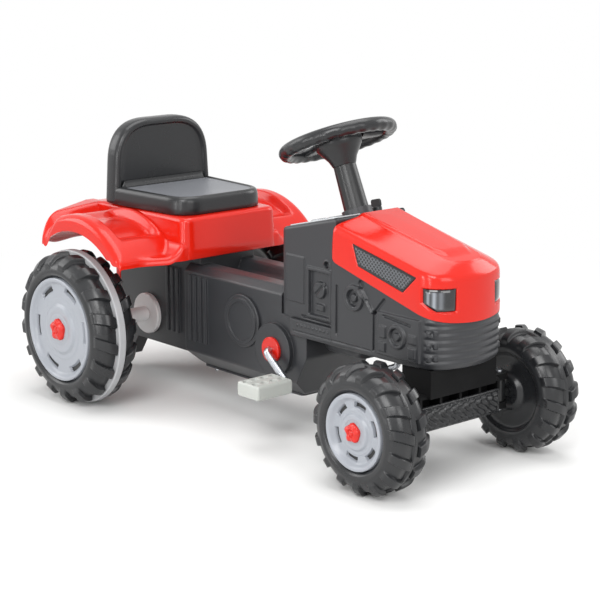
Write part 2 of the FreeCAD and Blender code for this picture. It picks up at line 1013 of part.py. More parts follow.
def hull_body(inset):
    low = x_at(hull_tail_reach) - overrun
    length = hull_nose_reach - hull_tail_reach + 2 * overrun
    bar = prism(hull_section(inset), hull_round / 2, on_yz(low), forward * length)
    front = sideways(hull_side(False), [0] + [hull_round] * 3 + [0] * 6, hull_half, inset)
    tail = sideways(hull_side(True), [hull_round, 0, 0, 0, 0], hull_tail_half - inset, inset)
    boss = rod(
        crank_centre - across * (boss_half - inset), crank_centre + across * (boss_half - inset),
        boss_radius - inset,
    )
    return bar.common(front).multiFuse([tail, boss]).removeSplitter()


def belly_opening():
    return (
        x_at(hull_waist_reach) + belly_opening_margin,
        x_at(hull_chin_reach) - 2 * belly_opening_margin,
        hull_belly_half - belly_opening_margin,
    )


def belly_screw_places():
    rear, front, half = belly_opening()
    first = rear + screw_margin
    last = front - screw_margin
    return [
        Vector(
            first + (last - first) * k / (screw_rows - 1), side * (half + belly_opening_margin / 2),
            hull_belly_height,
        )
        for k in range(screw_rows)
        for side in (1, -1)
    ]


def main_hull():
    body = hull_body(0)
    ribs = []
    for first, count, wall in (
        (rib_first_reach, rib_count, hull_half), (tail_rib_first_reach, tail_rib_count, hull_tail_half),
    ):
        for k in range(count):
            start = x_at(first + k * rib_pitch)
            rib = block(
                start, start + rib_width, wall - rib_proud, wall + rib_proud, rib_foot_height, rib_top_height
            )
            rib = rib.cut(side_cover_room())
            ribs += [rib, mirrored(rib)]
    body = joined(body, *ribs)
    rear, front, half = belly_opening()
    cuts = [
        hull_body(hull_wall),
        block(rear, front, -half, half, hull_belly_height - overrun, hull_belly_height + 3 * hull_wall),
        rod(rear_centre - across * hull_half * 2, rear_centre + across * hull_half * 2, bush_stem_radius),
        rod(
            crank_centre - across * boss_half * 2, crank_centre + across * boss_half * 2,
            crank_bush_stem_radius,
        ),
        rod(tail_knob_seat(), tail_knob_seat() + forward * hull_wall * 2, tail_knob_radius / 2),
    ]
    for place in belly_screw_places():
        cuts.append(rod(place - upward * overrun, place + upward * (2 * hull_wall), screw_radius))
    for side in (1, -1):
        cuts.append(rod(side_cover_stud(side, 0), side_cover_stud(side, -2 * hull_wall), side_cover_rim))
    return body.cut(Part.makeCompound(cuts))


def tail_knob_seat():
    return Vector(x_at(hull_tail_reach), 0, tail_knob_height)


def tail_knob():
    seat = tail_knob_seat()
    head = rod(seat, seat - forward * tail_knob_length, tail_knob_radius)
    head = head.makeFillet(tail_knob_radius / 4, [head.Edges[0]])
    return head.fuse(rod(seat, seat + forward * hull_wall, tail_knob_radius / 2)).removeSplitter()


def side_cover_stud(side, out):
    return Vector(x_at(side_cover_reach), side * (hull_half + out), side_cover_height)


def side_cover_room():
    # the ribs keep clear of the cover
    inner = side_cover_stud(1, -rib_proud)
    return rod(inner, side_cover_stud(1, 2 * side_cover_proud), side_cover_radius + seam)


def side_covers():
    # round covers over the hull's sides, each on a stud
    start = side_cover_stud(1, 0)
    face = side_cover_stud(1, side_cover_proud)
    disc = rod(start, face, side_cover_radius)
    disc = disc.makeFillet(side_cover_proud / 3, [disc.Edges[0]])
    rim = rod(face, face + across * side_cover_rim_proud, side_cover_radius - side_cover_rim)
    rim = rim.cut(rod(face, face + across * side_cover_rim_proud, side_cover_radius - 2 * side_cover_rim))
    stud = rod(start - across * hull_wall, start, side_cover_rim)
    return pair(joined(disc, rim, stud))


def belly_cover():
    rear, front, half = belly_opening()
    edge = belly_opening_margin
    corners = [
        (rear - edge, -half - edge), (front + edge, -half - edge),
        (front + edge, half + edge), (rear - edge, half + edge),
    ]
    plate = upright(corners, belly_cover_round, hull_belly_height - belly_cover_thickness, hull_belly_height)
    holes = [
        rod(p - upward * (belly_cover_thickness + overrun), p + upward * overrun, screw_radius)
        for p in belly_screw_places()
    ]
    return plate.cut(Part.makeCompound(holes))


def belly_screws():
    screws = []
    for place in belly_screw_places():
        foot = place - upward * belly_cover_thickness
        head = rod(foot - upward * screw_head_height, foot, screw_head_radius)
        screws.append(head.fuse(rod(foot, place + upward * hull_wall, screw_radius)).removeSplitter())
    return Part.makeCompound(screws)


# bonnet, engine housing and console


def nose_plan(inset):
    # seen from above: sides drawn in a little towards the nose, and a bowed front
    right = [
        (x_at(bonnet_rear_reach) - overrun * 20, bonnet_rear_half - inset),
        (x_at(bonnet_corner_reach) - inset / 2, bonnet_corner_half - inset),
    ]
    return right + [(x_at(nose_reach) - inset, 0)] + [(x, -y) for x, y in reversed(right)]


def nose_prism(inset, foot, top):
    return upright(nose_plan(inset), [0, nose_round, nose_tip_round, nose_round, 0], foot, top)


def bonnet_section(reach, drop):
    crease = bonnet_line(bonnet_rear_crease, bonnet_front_crease, reach) - drop
    crown = bonnet_line(bonnet_rear_crown, bonnet_front_crown, reach) - drop
    half = bonnet_line(crown_rear_half, crown_front_half, reach)
    wide = bonnet_rear_half + overrun
    foot = bonnet_front_foot - 2 * overrun
    right = [(wide, foot), (wide, crease - (wide - bonnet_corner_half) / 2), (half, crown)]
    points = right + [(-y, z) for y, z in reversed(right)]
    place = on_yz(x_at(reach))
    return rounded([place(*p) for p in points], [0, crease_round, crease_round, crease_round, crease_round, 0])


def bonnet_body(inset):
    rear = bonnet_rear_reach + inset
    roof = Part.makeLoft([bonnet_section(rear, inset), bonnet_section(nose_reach + overrun, inset)], True, True)
    top = bonnet_rear_crown + overrun
    front_top = bonnet_line(bonnet_rear_crown, bonnet_front_crown, nose_reach) + overrun - inset
    foot = bonnet_front_foot - 2 * overrun
    profile = [
        (x_at(rear), foot),
        (x_at(nose_reach) + overrun, foot),
        (x_at(nose_reach) - inset, bonnet_front_foot),
        (x_at(nose_reach) - inset, front_top - overrun),
        (x_at(bonnet_corner_reach) - inset - nose_crown_round, front_top + nose_crown_round / 2),
        (x_at(rear), top),
    ]
    side = sideways(profile, [0, 0, 0, nose_crown_round, 0, 0], bonnet_rear_half + overrun)
    return roof.common(nose_prism(inset, foot, top)).common(side)


def under_bonnet(lift):
    # everything below the bonnet's foot line
    foot = [
        (x_at(bonnet_rear_reach) - overrun, bonnet_rear_foot + lift),
        (x_at(nose_reach) + 2 * overrun, bonnet_front_foot + lift),
        (x_at(nose_reach) + 2 * overrun, -overrun),
        (x_at(bonnet_rear_reach) - overrun, -overrun),
    ]
    return sideways(foot, 0, bonnet_rear_half + 2 * overrun)


def bonnet_shell():
    shell = bonnet_body(0).cut(under_bonnet(0)).cut(bonnet_body(bonnet_wall))
    passage = block(
        x_at(bonnet_rear_reach) - overrun, x_at(bonnet_rear_reach) + bonnet_wall + overrun,
        -console_half + console_side_round, console_half - console_side_round,
        bonnet_front_foot, dash_front_height - bonnet_wall,
    )
    return shell.cut(passage)


def bonnet_panel():
    sections = []
    for reach, half in ((panel_rear_reach, panel_rear_half), (panel_front_reach, panel_front_half)):
        crown = bonnet_line(bonnet_rear_crown, bonnet_front_crown, reach)
        points = rectangle(-half, half, crown - bonnet_wall / 2, crown + panel_proud)
        place = on_yz(x_at(reach))
        sections.append(rounded([place(*p) for p in points], [0, 0, panel_round, panel_round]))
    return Part.makeLoft(sections, True, True)


def grille_window(inset):
    # slanted opening in the bonnet's right side, wider along its top

    def spot(along_share, up_share):
        reach = bonnet_rear_reach + along_share * bonnet_side_length
        foot = foot_line(reach)
        crease = bonnet_line(bonnet_rear_crease, bonnet_front_crease, reach)
        return x_at(reach), foot + up_share * (crease - foot)

    corners = [
        spot(grille_foot_rear_share, grille_foot_share), spot(grille_foot_front_share, grille_foot_share),
        spot(grille_front_share, grille_top_share), spot(grille_rear_share, grille_top_share),
    ]
    return prism(corners, grille_round, on_xz(bonnet_corner_half / 2), across * bonnet_rear_half, inset)


def lamp_window(inset):
    front = x_at(nose_reach) + overrun
    corners = [
        (x_at(lamp_rear_reach), lamp_top_height), (front, lamp_top_height),
        (front, lamp_foot_height), (x_at(lamp_rear_reach) + lamp_round * 2, lamp_foot_height),
    ]
    return prism(corners, lamp_round, on_xz(lamp_inner_half + inset), across * bonnet_rear_half, inset)


def bonnet_and_inserts():
    shell = bonnet_shell()
    openings = Part.makeCompound([grille_window(0), lamp_window(0)])
    openings = pair(openings)
    body = shell.cut(openings)
    body = joined(body, bonnet_panel())
    grille = shell.common(grille_window(seam))
    box = grille.BoundBox
    slats = []
    for k in range(grille_slat_count):
        x = box.XMin + box.XLength * (k + 0.5) / grille_slat_count
        slats.append(block(
            x - grille_slat_width / 2, x + grille_slat_width / 2,
            box.YMax - grille_slat_depth, box.YMax + overrun, box.ZMin, box.ZMax,
        ))
    grille = grille.cut(Part.makeCompound(slats))
    lamp = shell.common(lamp_window(seam))
    return body, grille, lamp


def housing_profile(inset):
    rear = x_at(housing_rear_reach) + inset
    floor = housing_floor_height + (housing_floor if inset else 0)
    return [
        (rear, floor),
        (x_at(nose_reach) + overrun, floor),
        (x_at(nose_reach) + overrun, dash_front_height),
        (rear, dash_front_height),
    ]


def housing_body(inset, extra):
    wide = housing_inset + inset
    plan = nose_prism(wide, housing_floor_height - overrun, dash_front_height + overrun)
    side = sideways(housing_profile(inset), 0, bonnet_rear_half)
    body = plan.common(side)
    rear_top = block(
        x_at(housing_rear_reach) - overrun, x_at(bonnet_rear_reach), -bonnet_rear_half, bonnet_rear_half,
        console_floor_height + extra, dash_front_height + overrun,
    )
    return body.cut(rear_top)


def relief(corners, round_off, proud):
    # raised panel on the housing's left side
    face = bonnet_corner_half - housing_inset - housing_wall / 2
    return prism(corners, round_off, on_xz(face), across * (housing_wall / 2 + proud))


def rectangle(x0, x1, z0, z1):
    return [(x0, z0), (x1, z0), (x1, z1), (x0, z1)]


def engine_relief():
    pieces = []
    x0 = x_at(block_rear_reach)
    x1 = x_at(block_front_reach)
    pieces.append(relief(rectangle(x0, x1, block_foot_height, block_top_height), window_round, block_proud))
    face = bonnet_corner_half - housing_inset - housing_wall / 2
    fan = Vector((x0 + x1) / 2, face, (block_foot_height + block_top_height) / 2)
    depth = housing_wall / 2 + block_proud
    pieces.append(rod(fan, fan + across * (depth + fan_proud), fan_radius))
    wheel = Vector(x_at(pulley_reach), face, pulley_height)
    idler = Vector(x_at(idler_reach), face, idler_height)
    reach = housing_wall / 2 + pulley_proud
    pieces.append(rod(wheel, wheel + across * reach, pulley_radius))
    pieces.append(rod(idler, idler + across * reach, idler_radius))
    line = idler - wheel
    side = Vector(-line.z, 0, line.x).normalize()
    for way in (1, -1):
        start = wheel + side * (way * (pulley_radius - belt_width / 2))
        end = idler + side * (way * (idler_radius - belt_width / 2))
        run = (end - start).normalize()
        edge = Vector(-run.z, 0, run.x) * (belt_width / 2)
        strip = Part.makePolygon([start + edge, end + edge, end - edge, start - edge, start + edge])
        pieces.append(Part.Face(strip).extrude(across * (housing_wall / 2 + belt_proud)))
    return pieces


def engine_hollows():
    face = bonnet_corner_half - housing_inset
    cuts = []
    for centre, radius in (
        (Vector(x_at(pulley_reach), face, pulley_height), pulley_radius),
        (Vector(x_at(idler_reach), face, idler_height), idler_radius),
    ):
        cuts.append(rod(
            centre + across * (pulley_proud / 2), centre + across * (pulley_proud + overrun),
            radius * pulley_bore_share,
        ))
    return cuts


def housing_grooves():
    # upright grooves that part the moulded engine's sections
    cuts = []
    deep = bonnet_corner_half - housing_inset - groove_depth
    for reach in (bonnet_rear_reach + groove_width * 2, block_rear_reach - groove_width * 2):
        roof = foot_line(reach) - groove_width * 2
        cuts.append(block(
            x_at(reach) - groove_width / 2, x_at(reach) + groove_width / 2, deep, bonnet_rear_half + overrun,
            housing_floor_height + groove_width * 4, roof,
        ))
    return cuts


def steering_bearing():
    # slanted boss on the housing's floor that carries the steering shaft's foot
    down = (steering_height - housing_floor_height) / math.cos(tilt)
    foot = steering_centre - column * down
    return foot - column * (bearing_length / 3), foot + column * (bearing_length * 2 / 3)


def engine_housing():
    body = housing_body(0, 0).common(
        under_bonnet(0).fuse(block(
            x_at(housing_rear_reach) - overrun, x_at(bonnet_rear_reach), -bonnet_rear_half, bonnet_rear_half,
            0, console_floor_height,
        ))
    )
    louvres = []
    step = (bonnet_front_foot - housing_floor_height) / louvre_count
    for k in range(louvre_count):
        low = housing_floor_height + step * (k + 0.5) - louvre_height / 2
        slat = nose_prism(housing_inset - louvre_proud, low, low + louvre_height)
        slat = slat.common(block(
            x_at(nose_reach) - louvre_sweep, x_at(nose_reach) + overrun, -bonnet_rear_half, bonnet_rear_half,
            low, low + louvre_height,
        ))
        louvres.append(slat)
    raised = engine_relief()
    raised += [mirrored(p) for p in raised]
    pan = sideways(
        rectangle(
            x_at(pan_rear_reach), x_at(pan_front_reach),
            pan_foot_height, housing_floor_height + housing_floor / 2,
        ),
        [pan_round, pan_round, 0, 0], pan_half,
    )
    body = body.multiFuse(louvres + raised + [pan])
    bearing = steering_bearing()
    cavity = housing_body(housing_wall, overrun * 3)
    cuts = [cavity] + engine_hollows() + housing_grooves()
    cuts += [mirrored(c) for c in engine_hollows() + housing_grooves()]
    body = body.cut(Part.makeCompound(cuts[:1])).cut(Part.makeCompound(cuts[1:]))
    body = body.fuse(rod(bearing[0], bearing[1], bearing_radius))
    way = rod(bearing[0] - column * overrun, bearing[1] + column * overrun, shaft_radius + run_clearance)
    return body.cut(way).removeSplitter()


def console_body(inset):
    rear = x_at(console_rear_reach) + inset
    front = x_at(bonnet_rear_reach) + (overrun if inset else 0)
    half = console_half - inset
    plan = upright(
        [(rear, -half), (front, -half), (front, half), (rear, half)],
        [console_side_round, 0, 0, console_side_round],
        console_floor_height - (overrun if inset else 0), dash_front_height + overrun,
    )
    slope = (dash_front_height - dash_rear_height) / (bonnet_rear_reach - console_rear_reach)
    drop = inset / math.cos(math.atan(slope))
    side = sideways(
        [
            (x_at(console_rear_reach), console_floor_height - overrun),
            (front + overrun, console_floor_height - overrun),
            (front + overrun, dash_at(front + overrun) - drop),
            (x_at(console_rear_reach), dash_rear_height - drop),
        ],
        [0, 0, 0, console_round], console_half,
    )
    return plan.common(side)


def console_port(grow, depth):
    half = console_port_half + grow
    corners = [
        (-half, console_port_foot - grow), (half, console_port_foot - grow),
        (half, console_port_top + grow), (-half, console_port_top + grow),
    ]
    face = x_at(console_rear_reach) - console_port_proud
    return prism(corners, console_port_round, on_yz(face), forward * depth)


def console_window(grow):
    return rectangle(
        x_at(window_rear_reach) - grow, x_at(window_front_reach) + grow,
        window_foot_height - grow, window_top_height + grow,
    )


def dash_console():
    body = console_body(0).cut(console_body(housing_wall))
    depth = console_port_proud + console_port_depth
    tray = console_port(housing_wall, depth + housing_wall)
    frame = console_port(console_port_frame, console_port_proud + housing_wall)
    windows = []
    for side in (1, -1):
        start = side * (console_half - housing_wall / 2)
        rim = prism(
            console_window(window_frame), window_round, on_xz(start),
            across * (side * (housing_wall / 2 + window_proud)),
        )
        hole = prism(
            console_window(0), window_round, on_xz(start),
            across * (side * (housing_wall + window_proud + overrun)),
        )
        windows.append(rim.cut(hole))
    body = joined(body, tray, frame, *windows)
    cuts = [console_port(0, depth)]
    groove = x_at(window_rear_reach) - window_frame - groove_width * 3
    for side in (1, -1):
        y = side * (console_half - groove_depth)
        cuts.append(block(
            groove - groove_width / 2, groove + groove_width / 2,
            min(y, y + side * overrun), max(y, y + side * overrun),
            console_floor_height + groove_width * 2, dash_rear_height - groove_width * 2,
        ))
    cuts.append(column_way(sleeve_foot_radius + play))
    cuts.append(key_way(key_stem_radius + run_clearance, key_stem_length * 2))
    return body.cut(Part.makeCompound(cuts))


def column_way(radius):
    # straight way through the dash along the steering column
    meet = steering_centre - column * column_meets_dash()
    return rod(meet - column * collar_radius * 2, meet + column * collar_radius * 2, radius)


def dash_normal():
    rise = dash_front_height - dash_rear_height
    run = bonnet_rear_reach - console_rear_reach
    return Vector(-rise, 0, run).normalize()


def key_seat():
    x = x_at(key_reach)
    return Vector(x, key_half, dash_at(x))


def key_way(radius, length):
    seat = key_seat()
    return rod(seat - dash_normal() * length, seat + dash_normal() * length, radius)


def dash_panel():
    # label plate on the sloping dash, with three plain dials
    rear = x_at(console_rear_reach) + console_side_round
    front = x_at(bonnet_rear_reach) - dash_plate_margin
    half = console_half - dash_plate_margin
    up = dash_normal() * dash_plate_thickness
    corners = [Vector(x, y, dash_at(x)) for x, y in rectangle(rear, front, -half, half)]
    plate = Part.Face(rounded(corners, dash_plate_margin)).extrude(up)
    dials = []
    for along, aside in dial_places_shares:
        x = rear + along * (front - rear)
        seat = Vector(x, aside * half, dash_at(x))
        dials.append(rod(seat, seat + dash_normal() * (dash_plate_thickness + dial_proud), dial_radius))
    plate = joined(plate, *dials)
    barrel = key_way(key_barrel_radius + play, key_stem_length * 2)
    return plate.cut(Part.makeCompound([column_way(collar_radius + play), barrel]))


def ignition_key():
    seat = key_seat()
    up = dash_normal()
    top = seat + up * (play + key_barrel_height)
    barrel = rod(seat + up * play, top, key_barrel_radius)
    stem = rod(seat - up * key_stem_length, seat + up * (2 * play), key_stem_radius)
    along = up.cross(across).normalize()
    half = key_bow_length / 2
    base = top - up * play
    corners = [
        base - along * half, base + along * half,
        base + along * half + up * key_bow_height, base - along * half + up * key_bow_height,
    ]
    bow = Part.Face(rounded(corners, key_bow_height / 3)).extrude(across * key_bow_thickness)
    bow.translate(across * (-key_bow_thickness / 2))
    return joined(barrel, stem, bow)


# steering


def column_collar():
    meet = steering_centre - column * column_meets_dash()
    tube = rod(meet - column * collar_radius, meet + column * collar_height, collar_radius)
    above = [
        (x_at(console_rear_reach), dash_at(x_at(console_rear_reach))),
        (x_at(bonnet_rear_reach), dash_at(x_at(bonnet_rear_reach))),
        (x_at(bonnet_rear_reach), steering_height),
        (x_at(console_rear_reach), steering_height),
    ]
    tube = tube.common(sideways(above, 0, console_half))
    return tube.cut(column_way(sleeve_foot_radius + play))


def steering_wheel():
    major = steering_radius - steering_grip
    rim = Part.makeTorus(major, steering_grip)
    hub = Part.makeCylinder(steering_hub_radius, steering_hub_height, Vector(0, 0, -steering_hub_height / 2))
    hub = hub.makeFillet(steering_grip / 3, [hub.Edges[0]])
    foot = Part.makeCone(
        steering_hub_foot_radius, steering_hub_radius, steering_hub_drop,
        Vector(0, 0, -steering_hub_height / 2 - steering_hub_drop), upward,
    )
    spokes = []
    for angle in spoke_angles:
        arm = block(-major, 0, -spoke_width / 2, spoke_width / 2, -spoke_thickness / 2, spoke_thickness / 2)
        arm = arm.makeFillet(spoke_thickness / 3, [e for e in arm.Edges if e.Length > spoke_width * 2])
        arm.rotate(middle, upward, angle)
        spokes.append(arm)
    body = joined(rim, hub, foot, *spokes)
    top = steering_hub_height / 2
    pocket = horn_outline(play, top - horn_skirt - horn_travel - play, top + overrun)
    deep = Part.makeCylinder(
        horn_spring_radius + 2 * play, top, Vector(0, 0, horn_spring_foot())
    )
    shaft = Part.makeCylinder(
        shaft_radius, shaft_grip + overrun, Vector(0, 0, -steering_hub_height / 2 - steering_hub_drop - overrun)
    )
    return on_column(body.cut(Part.makeCompound([pocket, deep, shaft])))


def horn_spring_foot():
    return -steering_hub_height / 4


def horn_outline(grow, low, high):
    long = horn_length / 2 + grow
    wide = horn_width / 2 + grow
    corners = [(-wide, -long), (wide, -long), (wide, long), (-wide, long)]
    return upright(corners, wide, low, high)


def horn_button():
    top = steering_hub_height / 2
    body = horn_outline(0, top - horn_skirt, top + horn_height)
    crown = body.BoundBox.ZMax
    body = body.makeFillet(horn_height / 2, [e for e in body.Edges if e.BoundBox.ZMin > crown - play])
    return on_column(body)


def horn_spring():
    foot = horn_spring_foot() + horn_spring_wire + play
    head = steering_hub_height / 2 - horn_skirt - horn_spring_wire - play
    coil = Part.makeHelix((head - foot) / horn_spring_turns, head - foot, horn_spring_radius - horn_spring_wire)
    coil.translate(Vector(0, 0, foot))
    start = coil.Edges[0].valueAt(coil.Edges[0].FirstParameter)
    tangent = coil.Edges[0].tangentAt(coil.Edges[0].FirstParameter)
    section = Part.Wire(Part.makeCircle(horn_spring_wire, start, tangent))
    return on_column(coil.makePipeShell([section], True, True))


def column_sleeve():
    top = -steering_hub_height / 2 - steering_hub_drop
    foot = -column_meets_dash() - sleeve_sink
    body = Part.makeCone(sleeve_foot_radius, sleeve_top_radius, top - foot, Vector(0, 0, foot), upward)
    core = Part.makeCone(
        sleeve_foot_radius - sleeve_wall, sleeve_top_radius - sleeve_wall, top - foot - sleeve_wall,
        Vector(0, 0, foot), upward,
    )
    bore = Part.makeCylinder(shaft_radius, top - foot + overrun, Vector(0, 0, foot))
    return on_column(body.cut(core).cut(bore))


# the shaft's foot bends back into a drop arm whose pin moves the tie bar
pin_down = (steering_height - drop_pin_height) / math.cos(tilt) - drop_arm * math.tan(tilt)
drop_corner_down = pin_down - drop_pin_rise
drop_pin_middle = (
    steering_centre - column * pin_down - wheel_forward * drop_arm
)


def steering_shaft():
    top = steering_centre - column * (steering_hub_height / 2 + steering_hub_drop - shaft_grip)
    corner = steering_centre - column * drop_corner_down
    knee = corner - wheel_forward * drop_arm
    return bent_rod([top, corner, knee, knee - column * (drop_pin_rise + drop_pin)], drop_bend, shaft_radius)


# front axle and its linkage

ear_low_top = beam_foot_height + ear_thickness
ear_high_foot = beam_top_height - ear_thickness
knuckle_foot = ear_low_top + play
knuckle_top = ear_high_foot - play
arm_foot = drop_pin_height - tie_thickness / 2 - play - arm_thickness


def front_axle_beam():
    left = front_x - beam_half_depth
    right = front_x + beam_half_depth
    bar = prism(
        rectangle(left, right, beam_foot_height, beam_top_height),
        beam_round, on_xz(-beam_half), across * (2 * beam_half),
    )
    pockets = []
    pitch = (2 * beam_half - beam_wall) / (beam_web_count + 1)
    for k in range(beam_web_count + 1):
        y0 = -beam_half + beam_wall + k * pitch
        for x0, x1 in ((left - overrun, front_x - beam_wall / 2), (front_x + beam_wall / 2, right + overrun)):
            pockets.append(block(
                x0, x1, y0, y0 + pitch - beam_wall, beam_foot_height + beam_wall, beam_top_height - beam_wall
            ))
    bar = bar.cut(Part.makeCompound(pockets))
    post = block(
        front_x - beam_post_half_depth, front_x + beam_post_half_depth, -beam_post_half, beam_post_half,
        beam_top_height - beam_wall, housing_floor_height,
    )
    ears = []
    for side in (1, -1):
        pin = side * kingpin_half
        for foot in (beam_foot_height, ear_high_foot):
            tip = Part.makeCylinder(ear_radius, ear_thickness, Vector(front_x, pin, foot))
            root = side * (beam_half - beam_wall)
            ears += [tip, block(
                front_x - ear_radius, front_x + ear_radius, min(root, pin), max(root, pin),
                foot, foot + ear_thickness,
            )]
    body = joined(bar, post, *ears)
    holes = [
        rod(
            Vector(front_x, side * kingpin_half, beam_foot_height - overrun),
            Vector(front_x, side * kingpin_half, beam_top_height + overrun), kingpin_radius,
        )
        for side in (1, -1)
    ]
    return body.cut(Part.makeCompound(holes))


def kingpins():
    foot = Vector(front_x, kingpin_half, beam_foot_height)
    top = Vector(front_x, kingpin_half, beam_top_height)
    pin = rod(foot, top, kingpin_radius)
    head = rod(top, top + upward * kingpin_head, kingpin_head_radius)
    nut = rod(foot - upward * kingpin_head, foot, kingpin_head_radius)
    return pair(joined(pin, head, nut))


def steering_knuckle():
    axis = Vector(front_x, kingpin_half, knuckle_foot)
    barrel = Part.makeCylinder(knuckle_radius, knuckle_top - knuckle_foot, axis)
    hub = Vector(front_x, kingpin_half, front_radius)
    boss = rod(hub, Vector(front_x, front_inner - knuckle_gap, front_radius), knuckle_boss_radius)
    end = front_x - arm_length
    lever = block(
        end, front_x, kingpin_half - arm_width / 2, kingpin_half + arm_width / 2,
        arm_foot, arm_foot + arm_thickness,
    )
    tip = Vector(end, kingpin_half, arm_foot)
    eye = Part.makeCylinder(arm_width / 2, arm_thickness, tip)
    pin = Part.makeCylinder(arm_pin_radius, arm_thickness + tie_thickness + play, tip)
    body = joined(barrel, boss, lever, eye, pin)
    bore = rod(axis - upward * overrun, axis + upward * beam_top_height, kingpin_radius + run_clearance)
    return body.cut(Part.makeCompound([bore, stub_rod(stub_radius)]))


def stub_rod(radius):
    end = front_outer - disc_seat + play
    return rod(
        Vector(front_x, kingpin_half + stub_start, front_radius), Vector(front_x, end, front_radius), radius
    )


def stub_axle():
    end = Vector(front_x, front_outer - disc_seat + play, front_radius)
    head = rod(end, end + across * stub_head_thickness, stub_head_radius)
    return stub_rod(stub_radius).fuse(head).removeSplitter()


def slot_run():
    # how far the drop arm's pin creeps along the tie bar's slot between straight ahead and full lock
    lock = math.radians(steering_lock_degrees)
    turn = math.radians(wheel_lock_degrees)
    return drop_arm * (1 - math.cos(lock)) / math.cos(tilt) - arm_length * (1 - math.cos(turn))


def tie_rod():
    x = drop_pin_middle.x
    foot = drop_pin_height - tie_thickness / 2
    bar = block(x - tie_width / 2, x + tie_width / 2, -kingpin_half, kingpin_half, foot, foot + tie_thickness)
    ends = [Vector(x, side * kingpin_half, foot) for side in (1, -1)]
    eyes = [Part.makeCylinder(tie_eye_radius, tie_thickness, end) for end in ends]
    reach = shaft_radius / math.cos(tilt) + tie_thickness * math.tan(tilt) + play
    half = shaft_radius + drop_slack
    rear = x - reach
    front = x + reach + slot_run()
    edge = tie_slot_wall
    lug = upright(
        rectangle(rear - edge, front + edge, -half - edge, half + edge), edge, foot, foot + tie_thickness
    )
    slot = upright(
        rectangle(rear, front, -half, half), half / 2, foot - overrun, foot + tie_thickness + overrun
    )
    body = joined(bar, lug, *eyes).cut(slot)
    holes = [
        Part.makeCylinder(arm_pin_radius + slack, tie_thickness + 2 * overrun, Vector(x, y, foot - overrun))
        for y, slack in ((kingpin_half, run_clearance), (-kingpin_half, play))
    ]
    return body.cut(Part.makeCompound(holes))


# rear deck and seat


def guard_height(x):
    across_arc = x - x_at(guard_centre_reach)
    return guard_centre_height + math.sqrt(guard_radius ** 2 - across_arc ** 2)


def guard_sector(outer, inner, y0, y1):
    # part of a round arch over the rear wheel, between its front and rear ends
    centre = Vector(x_at(guard_centre_reach), y0, guard_centre_height)
    body = rod(centre, centre + across * (y1 - y0), outer)
    body = body.cut(rod(centre - across * overrun, centre + across * (y1 - y0 + overrun), inner))
    front = x_at(guard_front_reach)
    rear = x_at(guard_rear_reach)
    top = guard_centre_height + 2 * guard_radius
    keep = [
        (centre.x, guard_centre_height),
        (2 * front - centre.x, 2 * guard_height(front) - guard_centre_height),
        (2 * front - centre.x, top),
        (2 * rear - centre.x, top),
        (2 * rear - centre.x, 2 * guard_height(rear) - guard_centre_height),
    ]
    return body.common(prism(keep, 0, on_xz(y0 - overrun), across * (y1 - y0 + 2 * overrun)))


def deck_plan(inset):
    front = x_at(deck_front_reach) - inset
    rear = x_at(deck_rear_reach) + inset
    half = deck_half - inset
    return [(rear, -half), (front, -half), (front, half), (rear, half)]


def deck_body(inset, foot_drop):
    top = deck_top_height - inset
    foot = deck_foot_height - foot_drop
    radii = [deck_side_round, deck_round, deck_round, deck_side_round]
    plan = upright(deck_plan(inset), radii, foot, top)
    side = sideways(
        [
            (x_at(deck_rear_reach), deck_rear_foot_height - foot_drop),
            (x_at(guard_rear_reach), deck_rear_foot_height - foot_drop),
            (x_at(hull_waist_reach), foot),
            (x_at(deck_front_reach), foot),
            (x_at(deck_front_reach), top),
            (x_at(deck_rear_reach), top),
        ],
        [0, 0, 0, 0, deck_side_round, deck_side_round], deck_half,
    )
    return plan.common(side)


def pod_corners(inset):
    # lamp pod behind the mudguard, its rear face slanting outwards
    return [
        (x_at(deck_rear_reach) + inset, deck_half - deck_wall + inset),
        (x_at(pod_front_reach) - inset, deck_half - deck_wall + inset),
        (x_at(pod_front_reach) - inset, guard_half - inset),
        (x_at(pod_outer_rear_reach) + inset, guard_half - inset),
    ]


def pod_body(inset):
    foot = pod_foot_height - (overrun if inset else 0)
    body = upright(pod_corners(inset), pod_round, foot, deck_top_height - inset)
    low = pod_outer_height - inset
    slope = [
        (deck_half - deck_wall, pod_foot_height - overrun),
        (guard_half + overrun, pod_foot_height - overrun),
        (guard_half, low),
        (deck_half, deck_top_height - inset),
        (deck_half - deck_wall, deck_top_height - inset),
    ]
    length = pod_front_reach - deck_rear_reach + 2 * overrun
    roof = prism(slope, 0, on_yz(x_at(deck_rear_reach) - overrun), forward * length)
    return body.common(roof)


def pod_face():
    start = Vector(x_at(deck_rear_reach), deck_half - deck_wall, 0)
    end = Vector(x_at(pod_outer_rear_reach), guard_half, 0)
    line = (end - start).normalize()
    share = (tail_lamp_half - start.y) / (end.y - start.y)
    seat = start + (end - start) * share + upward * tail_lamp_height
    return seat, Vector(-line.y, line.x, 0)


def tail_lamp():
    seat, out = pod_face()
    lens = rod(seat - out * tail_lamp_sink, seat + out * tail_lamp_proud, tail_lamp_radius)
    return lens.makeFillet(tail_lamp_round, [lens.Edges[0]])


